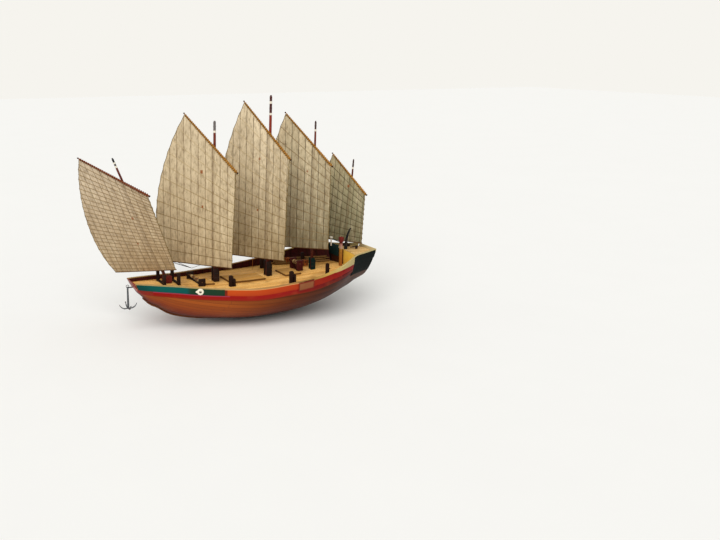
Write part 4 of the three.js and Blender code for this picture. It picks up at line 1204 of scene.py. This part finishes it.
# Crutch, anchor and rudder
# A black iron crutch takes the lowered after sail. The grapnel hangs by a ring at the bow.
# The hoisted rudder is of thick planks strapped to its stock with iron.
dressed("poop_crutch", "crutch_horn", 0, iron, "iron", angle=60)
anchor_iron = timber("anchor_iron", "6a6e72", "2c2e32", (3, 3, 3), 0.4, 0.0, "7a5a48", 50)
anchor = eased("anchor", "anchor_iron", 0)
ANCHOR_X, RING_HEIGHT = 628, 62.5
ring = torus(0.0065, 0.0013, 28, 10)
ring.data.transform(Matrix.Translation(Vector((ANCHOR_X, 0, RING_HEIGHT)) / 1000)
                    @ Matrix.Rotation(math.pi / 2, 4, "X"))
flukes = []
for k in range(4):
    turn = k * math.pi / 2
    out = Vector((math.cos(turn), math.sin(turn), 0))
    start, end = Vector((ANCHOR_X, 0, -27.5)) + out * 40.2, Vector((ANCHOR_X, 0, -21)) + out * 42.6
    palm = turned("palm", start, end, [(0, 1.6), (0.35, 4.2), (1, 0.5)], 12)
    middle = (Vector((ANCHOR_X, 0, -24.5)) + out * 41) / 1000
    palm.data.transform(Matrix.Translation(middle) @ Matrix.Scale(0.3, 4, out)
                        @ Matrix.Translation(-middle))
    flukes.append(palm)
fitted(joined("anchor_grapnel", [anchor, ring, *flukes]), anchor_iron, "iron", ["anchor"], angle=50)

blade_finish = timber("rudder_planks", "9a5c30", "5a2e18", (10, 10, 1), 0.42, 0.25, "b87c48")
dressed("rudder_blade", "rudder_blade_planks", 1.0, blade_finish, "hull_varnish", body="rudder")
dressed("rudder_stock", "rudder_stock_pole", 0, dark, "dark_wood", body="rudder", angle=50)
STOCK_X = -612
straps = []
for z in (-22, 14, 50):
    front = STOCK_X + STERN_LEAN * (130 - z) - 2
    back = STERN + STERN_LEAN * (131 - z) + 12
    straps.append(plank_box("strap", (back, -4.9, z - 2.6), (front, 4.9, z + 2.6), 0.5))
    for share in (0.15, 0.5, 0.85):
        x = between(back, front, share)
        straps.append(turned("bolt", (x, -5.6, z), (x, 5.6, z),
                             [(0, 0.9), (0.06, 1.5), (0.94, 1.5), (1, 0.9)], 10))
fitted(joined("rudder_straps", straps), iron, "iron", body="rudder")


# Sails
# Linen in narrow cloths with roped edges, stretched on battens of split cane between the boom
# and the yard, which it is lashed to. Lines hang under the second and third sails.
SAILS = [
    # peak, throat, tack, clew, upper and lower controls of the leech, battens
    ((164, 686), (-108, 448), (-86, 70), (250, 106), (272, 520), (330, 270), 12),
    ((151, 791), (-119, 536), (-99, 78), (277, 78), (300, 560), (362, 260), 11),
    ((132, 842), (-109, 586), (-95, 88), (235, 91), (255, 600), (310, 280), 11),
    ((154, 775), (-92, 533), (-92, 115), (215, 104), (250, 560), (285, 280), 10),
    ((111, 482), (-83, 295), (-88, 42), (140, 40), (165, 340), (185, 160), 9),
]
SAIL_TONES = [
    # head and foot, graded from one to the other as painted light and darker on the after sails as painted shade;
    # seams, spacing of the cloths, seam strength
    ("d4c2a8", "a4875e", "50361a", 0.031, 0.8),
    ("dac8a8", "b8a27c", "5c4220", 0.0385, 0.8),
    ("eedcbc", "907c54", "48341a", 0.036, 0.85),
    ("ead8b4", "5c5638", "322814", 0.036, 0.9),
    ("b8ac88", "707056", "262412", 0.028, 0.9),
]
PATCHES = [
    # u, w and half size in metres
    [(0.02, 0.36, 0.007), (0.05, 0.235, 0.006)],
    [(0.06, 0.53, 0.008), (0.055, 0.365, 0.006)],
    [(0.045, 0.58, 0.006), (0.05, 0.33, 0.005)],
    [(0.03, 0.5, 0.005)],
    [(0.01, 0.33, 0.007)],
]


BELLY, PUFF = 5.0, 1.3
LEECH_SCALLOP, LUFF_SCALLOP = 3.2, 1.6


def leech(sail, t):
    """The point of the round edge at a share t of the height from clew to peak."""
    peak, _, _, clew, upper, lower, _ = sail
    height = between(clew[1], peak[1], t)

    def curve(k, axis):
        shares = (k ** 3, 3 * k * k * (1 - k), 3 * k * (1 - k) ** 2, (1 - k) ** 3)
        return sum(c * p[axis] for c, p in zip(shares, (peak, upper, lower, clew)))

    low, high = 0.0, 1.0
    for _ in range(30):
        k = (low + high) / 2
        if curve(k, 1) < height:
            low = k
        else:
            high = k
    return curve(k, 0), height


def cloth_point(sail, out, s, t):
    """A point of the sail in millimetres beside its mast: s from luff to leech, t from foot
    to head. It bellies to port and puffs a little between the battens."""
    luff = [between(a, b, t) for a, b in zip(sail[2], sail[1])]
    edge = leech(sail, t)
    u, w = between(luff[0], edge[0], s), between(luff[1], edge[1], s)
    bay = t * (sail[6] + 1)
    puff = math.sin(math.pi * (bay % 1)) ** 2
    belly = BELLY * math.sin(math.pi * s) * math.sin(math.pi * min(1, t * 1.2 + 0.05)) ** 0.5
    u -= LEECH_SCALLOP * puff * max(0.0, s - 0.85) / 0.15
    u += LUFF_SCALLOP * puff * max(0.0, 0.1 - s) / 0.1
    return Vector((u, out + belly + PUFF * puff, w))


def tube(name, lines, radius, sides):
    """Round cord or cane along each line of points, made a mesh."""
    curve = bpy.data.curves.new(name, "CURVE")
    curve.dimensions = "3D"
    curve.bevel_depth = radius / 1000
    curve.bevel_resolution = max(0, sides // 2 - 2)
    curve.use_fill_caps = True
    for line in lines:
        spline = curve.splines.new("POLY")
        spline.points.add(len(line) - 1)
        for point, spot in zip(spline.points, line):
            point.co = (*(Vector(spot) / 1000), 1)
    piece = bpy.data.objects.new(name, curve)
    bpy.context.scene.collection.objects.link(piece)
    only(piece)
    bpy.ops.object.convert(target="MESH")
    return bpy.context.object


THREADS = 5200


def sail_finish(name, head, foot, seam_tone, spacing, strength, height, mast_half, patches):
    """Linen with dark seams every cloth, painted light from foot to head, a painted shade where the mast stands
    behind, stains and patches.
    """
    finish = Finish(name)
    u, w, _ = finish.split(finish.run())
    weave = (u * THREADS).of("SINE") * (w * THREADS).of("SINE") * 0.5 + 0.5
    thread = finish.noise(60, (3, 30, 1), 3, finish.joint(u, w))
    stain = finish.noise(11, (1.8, 0.6, 1), 5, finish.joint(u, w))
    streak = finish.noise(16, (3, 0.4, 1), 3, finish.joint(u, w))
    blotch = finish.noise(60, (1.6, 0.6, 1), 3, finish.joint(u, w))
    wobble = (finish.noise(18, (0.4, 1, 1), 2, finish.joint(u, w)) - 0.5) * 0.0016
    saw = ((u + 1 + wobble) / spacing).of("FRACT") - 0.5
    ridge = (saw.of("ABSOLUTE") - 0.42) * 12
    seam = ridge.of("MAXIMUM", 0.0) * (0.5 + blotch * 1.1)
    # Painted shade: a darker band on the cloth where the mast stands behind it.
    mast_shade_band = u.of("ABSOLUTE") < mast_half
    # The first mix is painted light: the cloth goes from the darker foot colour to the lighter head colour up the
    # sail.
    shade = finish.coats(
        finish.mix((w / height).of("MINIMUM", 1.0), foot, head),
        (finish.one_of(u + 1, spacing) * 0.22, foot), ((stain - 0.46) * 1.7, "7c6446"),
        ((streak - 0.5) * 1.7, "e8d6b4"), ((blotch - 0.48) * 2.4, "6e5a3c"),
        ((thread - 0.45) * 0.6, "6e5636"), (mast_shade_band * 0.3, "5c4428"), (seam * strength, seam_tone))
    for pu, pw, size in patches:
        spot = ((u - pu).of("ABSOLUTE") < size * 0.8) * ((w - pw).of("ABSOLUTE") < size)
        shade = finish.mix(spot * (0.35 + stain), shade, "8a4a1e")
    return finish.surface(shade, 0.85, weave * 0.25 + thread * 0.4 + seam, 0.5,
                          sheen_weight=0.25, sheen_roughness=0.5)


cane = timber("batten_cane", "a08860", "6c5432", (1, 1, 12), 0.7, 0.0, "b8a078", 30)
# Painted light: this cane gets lighter with height, as the sails' cloth does.
cane_lit_above = Finish("pale_batten_cane")
_, _, height = cane_lit_above.split(cane_lit_above.place())
cane_grain = cane_lit_above.noise(30, (1, 1, 12), 4)
cane_painted_light = cane_lit_above.ramp(height, (0.15, "80683e"), (0.42, "9c8456"), (0.6, "c4b088"),
                            (0.9, "d0bc96"))
cane_lit_above.surface(cane_lit_above.mix(cane_grain * 0.3, cane_painted_light, "5c4628"), 0.8)
# Painted shade: the after sail's cane is darker.
shaded_cane = timber("dark_batten_cane", "6c5c3c", "3c301c", (1, 1, 12), 0.7, 0.0, "887450", 30)
boom_wood = timber("boom_wood", "6a4a2a", "3a2413", (1, 12, 12), 0.55, 0.05, "8a6a44")
yard_wood = timber("yard_wood", "a87430", "54300f", (3, 3, 3), 0.5, 0.1, "d8a44c", 70)
fore_yard_wood = timber("fore_yard_wood", "8c4a2c", "40180e", (3, 3, 3), 0.5, 0.1, "a8704c", 70)
knob_wood = timber("yard_knobs", "3a2018", "1c0e0a", (3, 3, 3), 0.45, 0.1)
twine = timber("lashing_twine", "c89040", "7c5420", (20, 20, 20), 0.85, 0.0, "dcb068", 90)
brown_twine = timber("fore_lashing_twine", "8c5438", "4a2418", (20, 20, 20), 0.85, 0.0, "a87c5c",
                     90)
edge_rope = timber("edge_rope", "8a7448", "4a3c20", (18, 18, 18), 0.85, 0.0, "a89468", 90)
line_brown = timber("foot_line", "9c5c24", "5c3010", (20, 20, 20), 0.85, 0.0, None, 90)
parrel_wood = timber("parrel_wood", "5a3a26", "28170f", (10, 10, 10), 0.5, 0.1)

SAILS_AT_REST = -50
CANES = (cane, cane_lit_above, cane_lit_above, cane, shaded_cane)


def rigged(piece, rig, number, finish, slot="sail_cloth", replaces=(), angle=60):
    """Moves a piece drawn beside the mast to its place on the rig of that number."""
    piece.data.transform(rig)
    return fitted(piece, finish, slot, replaces, f"rig_{number}", angle)


for number, (mast, sail, tones, patches) in enumerate(zip(MASTS, SAILS, SAIL_TONES, PATCHES), 1):
    x, y, z, rake, _, foot, _ = mast
    peak, throat, tack, clew, _, _, battens = sail
    out = foot + 7
    rig = (Matrix.Translation(Vector((x, y, z)) / 1000)
           @ Matrix.Rotation(math.radians(rake), 4, "Y")
           @ Matrix.Rotation(math.radians(SAILS_AT_REST), 4, "Z"))

    def point(s, t, beside=0.0):
        return cloth_point(sail, out, s, t) + Vector((0, beside, 0))

    def place(s, t):
        return rig @ (point(s, t) / 1000)

    def run(s, t):
        return point(s, t).x / 1000, point(s, t).z / 1000

    cloth = laid(f"sail_{number}_cloth", 36, 6 * (battens + 1), place, run)
    worked(cloth, "SOLIDIFY", thickness=0.001, offset=0, use_even_offset=True)
    finish = sail_finish(f"sail_{number}_linen", *tones, peak[1] / 1000, (foot - 1) / 1000, patches)
    fitted(cloth, finish, "sail_cloth", [f"sail_{number}"], f"rig_{number}", 60)

    canes = []
    rows_of_cane = 2 * battens + 1 if number == 1 else battens
    for k in range(1, rows_of_cane + 1):
        line = [point(s / 16, k / (rows_of_cane + 1), 1.0) for s in range(17)]
        first = line[0] - (line[1] - line[0]).normalized() * 3
        last = line[-1] + (line[-1] - line[-2]).normalized() * 3
        canes.append([first, *line, last])
    rods = tube(f"sail_{number}_battens", canes, 1.1, 8)
    rigged(rods, rig, number, CANES[number - 1])

    a, b = Vector((tack[0], out, tack[1])), Vector((clew[0], out, clew[1]))
    way = (b - a).normalized()
    boom = turned(f"sail_{number}_boom", a - way * 3, b + way * 3,
                  [(0, 1.8), (0.01, 2.6), (0.1, 3), (0.9, 3), (0.99, 2.4), (1, 1.6)], 14)
    rigged(boom, rig, number, boom_wood, angle=35)

    edge = [point(0, t / 40) for t in range(41)]
    edge += [point(s / 20, 1) for s in range(1, 21)]
    edge += [point(1, 1 - t / 60) for t in range(1, 61)]
    rope = rigged(tube(f"sail_{number}_edge_rope", [edge], 1.6, 8), rig, number, edge_rope)

    a, b = Vector((throat[0], out, throat[1])), Vector((peak[0], out, peak[1]))
    way = (b - a).normalized()
    above = Vector((-way.z, 0, way.x)) * 4.3
    ends = [a + above - way * 8, b + above + way * 8]
    pole = turned(f"yard_{number}_pole", *ends,
                  [(0, 3.4), (0.012, 4.0), (0.2, 4.1), (0.21, 4.4), (0.225, 4.1), (0.5, 3.6),
                   (0.51, 3.9), (0.525, 3.5), (0.8, 2.9), (0.81, 3.2), (0.82, 2.8), (1, 2.4)], 16)
    rigged(pole, rig, number, fore_yard_wood if number == 1 else yard_wood, "yard_wood",
           [f"yard_{number}"], 35)
    knobs = [turned("knob", ends[0] - way * 1.5, ends[0] + way * 4,
                    [(0, 3.2), (0.2, 4.6), (0.8, 4.8), (1, 4.2)], 14),
             turned("knob", ends[1] - way * 4, ends[1] + way * 1.5,
                    [(0, 2.8), (0.2, 3.6), (0.8, 3.4), (1, 2.2)], 14)]
    rigged(joined(f"yard_{number}_knobs", knobs), rig, number, knob_wood, "yard_wood", angle=35)

    loops = []
    turn = way.to_track_quat("Z", "Y").to_matrix().to_4x4()
    count = round((b - a).length / 11)
    for k in range(count + 1):
        spot = a + (b - a) * between(0.02, 0.98, k / count) + above * 0.72
        loop = torus(between(0.0062, 0.005, k / count), between(0.0024, 0.0012, k / count), 16, 6)
        loop.data.transform(Matrix.Translation(spot / 1000) @ turn)
        loops.append(loop)
    loops = joined(f"sail_{number}_lashings", loops)
    rigged(loops, rig, number, brown_twine if number == 1 else twine)

    lines = {
        2: [[(u, out, 77), (118, out + 2, 56)] for u in (274, 238, 202, 70)],
        3: [[(75, out, 86), (75, out, deck_height(x, y) + 22 - z)]],
    }.get(number)
    if lines:
        lines = tube(f"sail_{number}_foot_lines", lines, 1.0, 6)
        rigged(lines, rig, number, line_brown if number == 3 else knob_wood)

    dressed(f"parrel_{number}", f"parrel_{number}_hoops", 0.3, parrel_wood, "dark_wood", 60,
            f"rig_{number}", 50)

    outline = [cloth_point(sail, 0, 0, t / 40) for t in range(41)]
    outline += [cloth_point(sail, 0, 1, 1 - t / 40) for t in range(41)]
    area = abs(sum(p.x * q.z - q.x * p.z for p, q in zip(outline, outline[1:] + outline[:1]))) / 2e6
    reach = [p.x for p in outline]
    flat = ((max(reach) - min(reach)) / 1000, (peak[1] - min(tack[1], clew[1])) / 1000)
    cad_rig.sheet(cloth, flat=flat, held="stretched", rests_on=[f"yard_{number}"], area=area,
             with_pieces=[rods, boom, rope, loops])


# Stand, light and camera
# A plain pale floor just under the keel, one broad sun over the port bow and a pale sky all
# round. The camera stands to port, forward of the beam and a little above.
FLOOR_HEIGHT = -0.1602
SKY_LIGHT, SKY_SEEN = 0.62, 1.0
bpy.ops.mesh.primitive_plane_add(size=40, location=(0, 0, 0))
floor = bpy.context.object
floor.name = "floor"
floor.data.transform(Matrix.Translation((0, 0, FLOOR_HEIGHT)))
paper = Finish("floor_paper")
tone = paper.noise(3, (1, 1, 1), 2)
paper.surface(paper.mix(tone, "eeeff0", "f0f1f2"), 0.9, shine=0.0)
floor.data.materials.append(paper.material)
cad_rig.stage(floor)

world = bpy.data.worlds.new("studio")
bpy.context.scene.world = world
world.use_nodes = True
sky = world.node_tree.nodes["Background"]
rays = world.node_tree.nodes.new("ShaderNodeLightPath")
seen = world.node_tree.nodes.new("ShaderNodeMapRange")
seen.inputs["To Min"].default_value = SKY_LIGHT
seen.inputs["To Max"].default_value = SKY_SEEN
world.node_tree.links.new(rays.outputs["Is Camera Ray"], seen.inputs["Value"])
world.node_tree.links.new(seen.outputs["Result"], sky.inputs["Strength"])
sky.inputs["Color"].default_value = colour("f6f4ee")
sun = bpy.data.lights.new("key", "SUN")
SUN_STRENGTH, SUN_BREADTH, TOWARDS_SUN = 2.3, math.radians(60), Vector((0.42, 0.58, 0.7))
sun.energy, sun.angle, sun.color = SUN_STRENGTH, SUN_BREADTH, (1.0, 0.985, 0.95)
lamp = bpy.data.objects.new("key", sun)
lamp.rotation_euler = (-TOWARDS_SUN).to_track_quat("-Z", "Y").to_euler()
bpy.context.scene.collection.objects.link(lamp)

FORWARD, ABOVE = math.radians(25), math.radians(15)
DISTANCE, AIM_HEIGHT = 4.284, 0.02215
FOCAL_LENGTH, FILM_WIDTH = 43.225, 36
PICTURE_WIDTH, VIEW_RIGHT, VIEW_UP = 720, 110, 10  # pixels
back = Vector((math.sin(FORWARD) * math.cos(ABOVE), math.cos(FORWARD) * math.cos(ABOVE),
               math.sin(ABOVE)))
lens = bpy.data.cameras.new("camera")
lens.sensor_width, lens.lens = FILM_WIDTH, FOCAL_LENGTH
lens.shift_x, lens.shift_y = VIEW_RIGHT / PICTURE_WIDTH, VIEW_UP / PICTURE_WIDTH
lens.clip_end = 200
camera = bpy.data.objects.new("camera", lens)
camera.location = Vector((0, 0, AIM_HEIGHT)) + back * DISTANCE
camera.rotation_euler = (-back).to_track_quat("-Z", "Y").to_euler()
bpy.context.scene.collection.objects.link(camera)
bpy.context.scene.camera = camera
bpy.context.scene.view_settings.view_transform = "Standard"

low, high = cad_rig.bounds()
with open("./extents.json", "w") as file:
    json.dump({"cad": [list(cad_low), list(cad_high)], "visual": [list(low), list(high)]}, file)
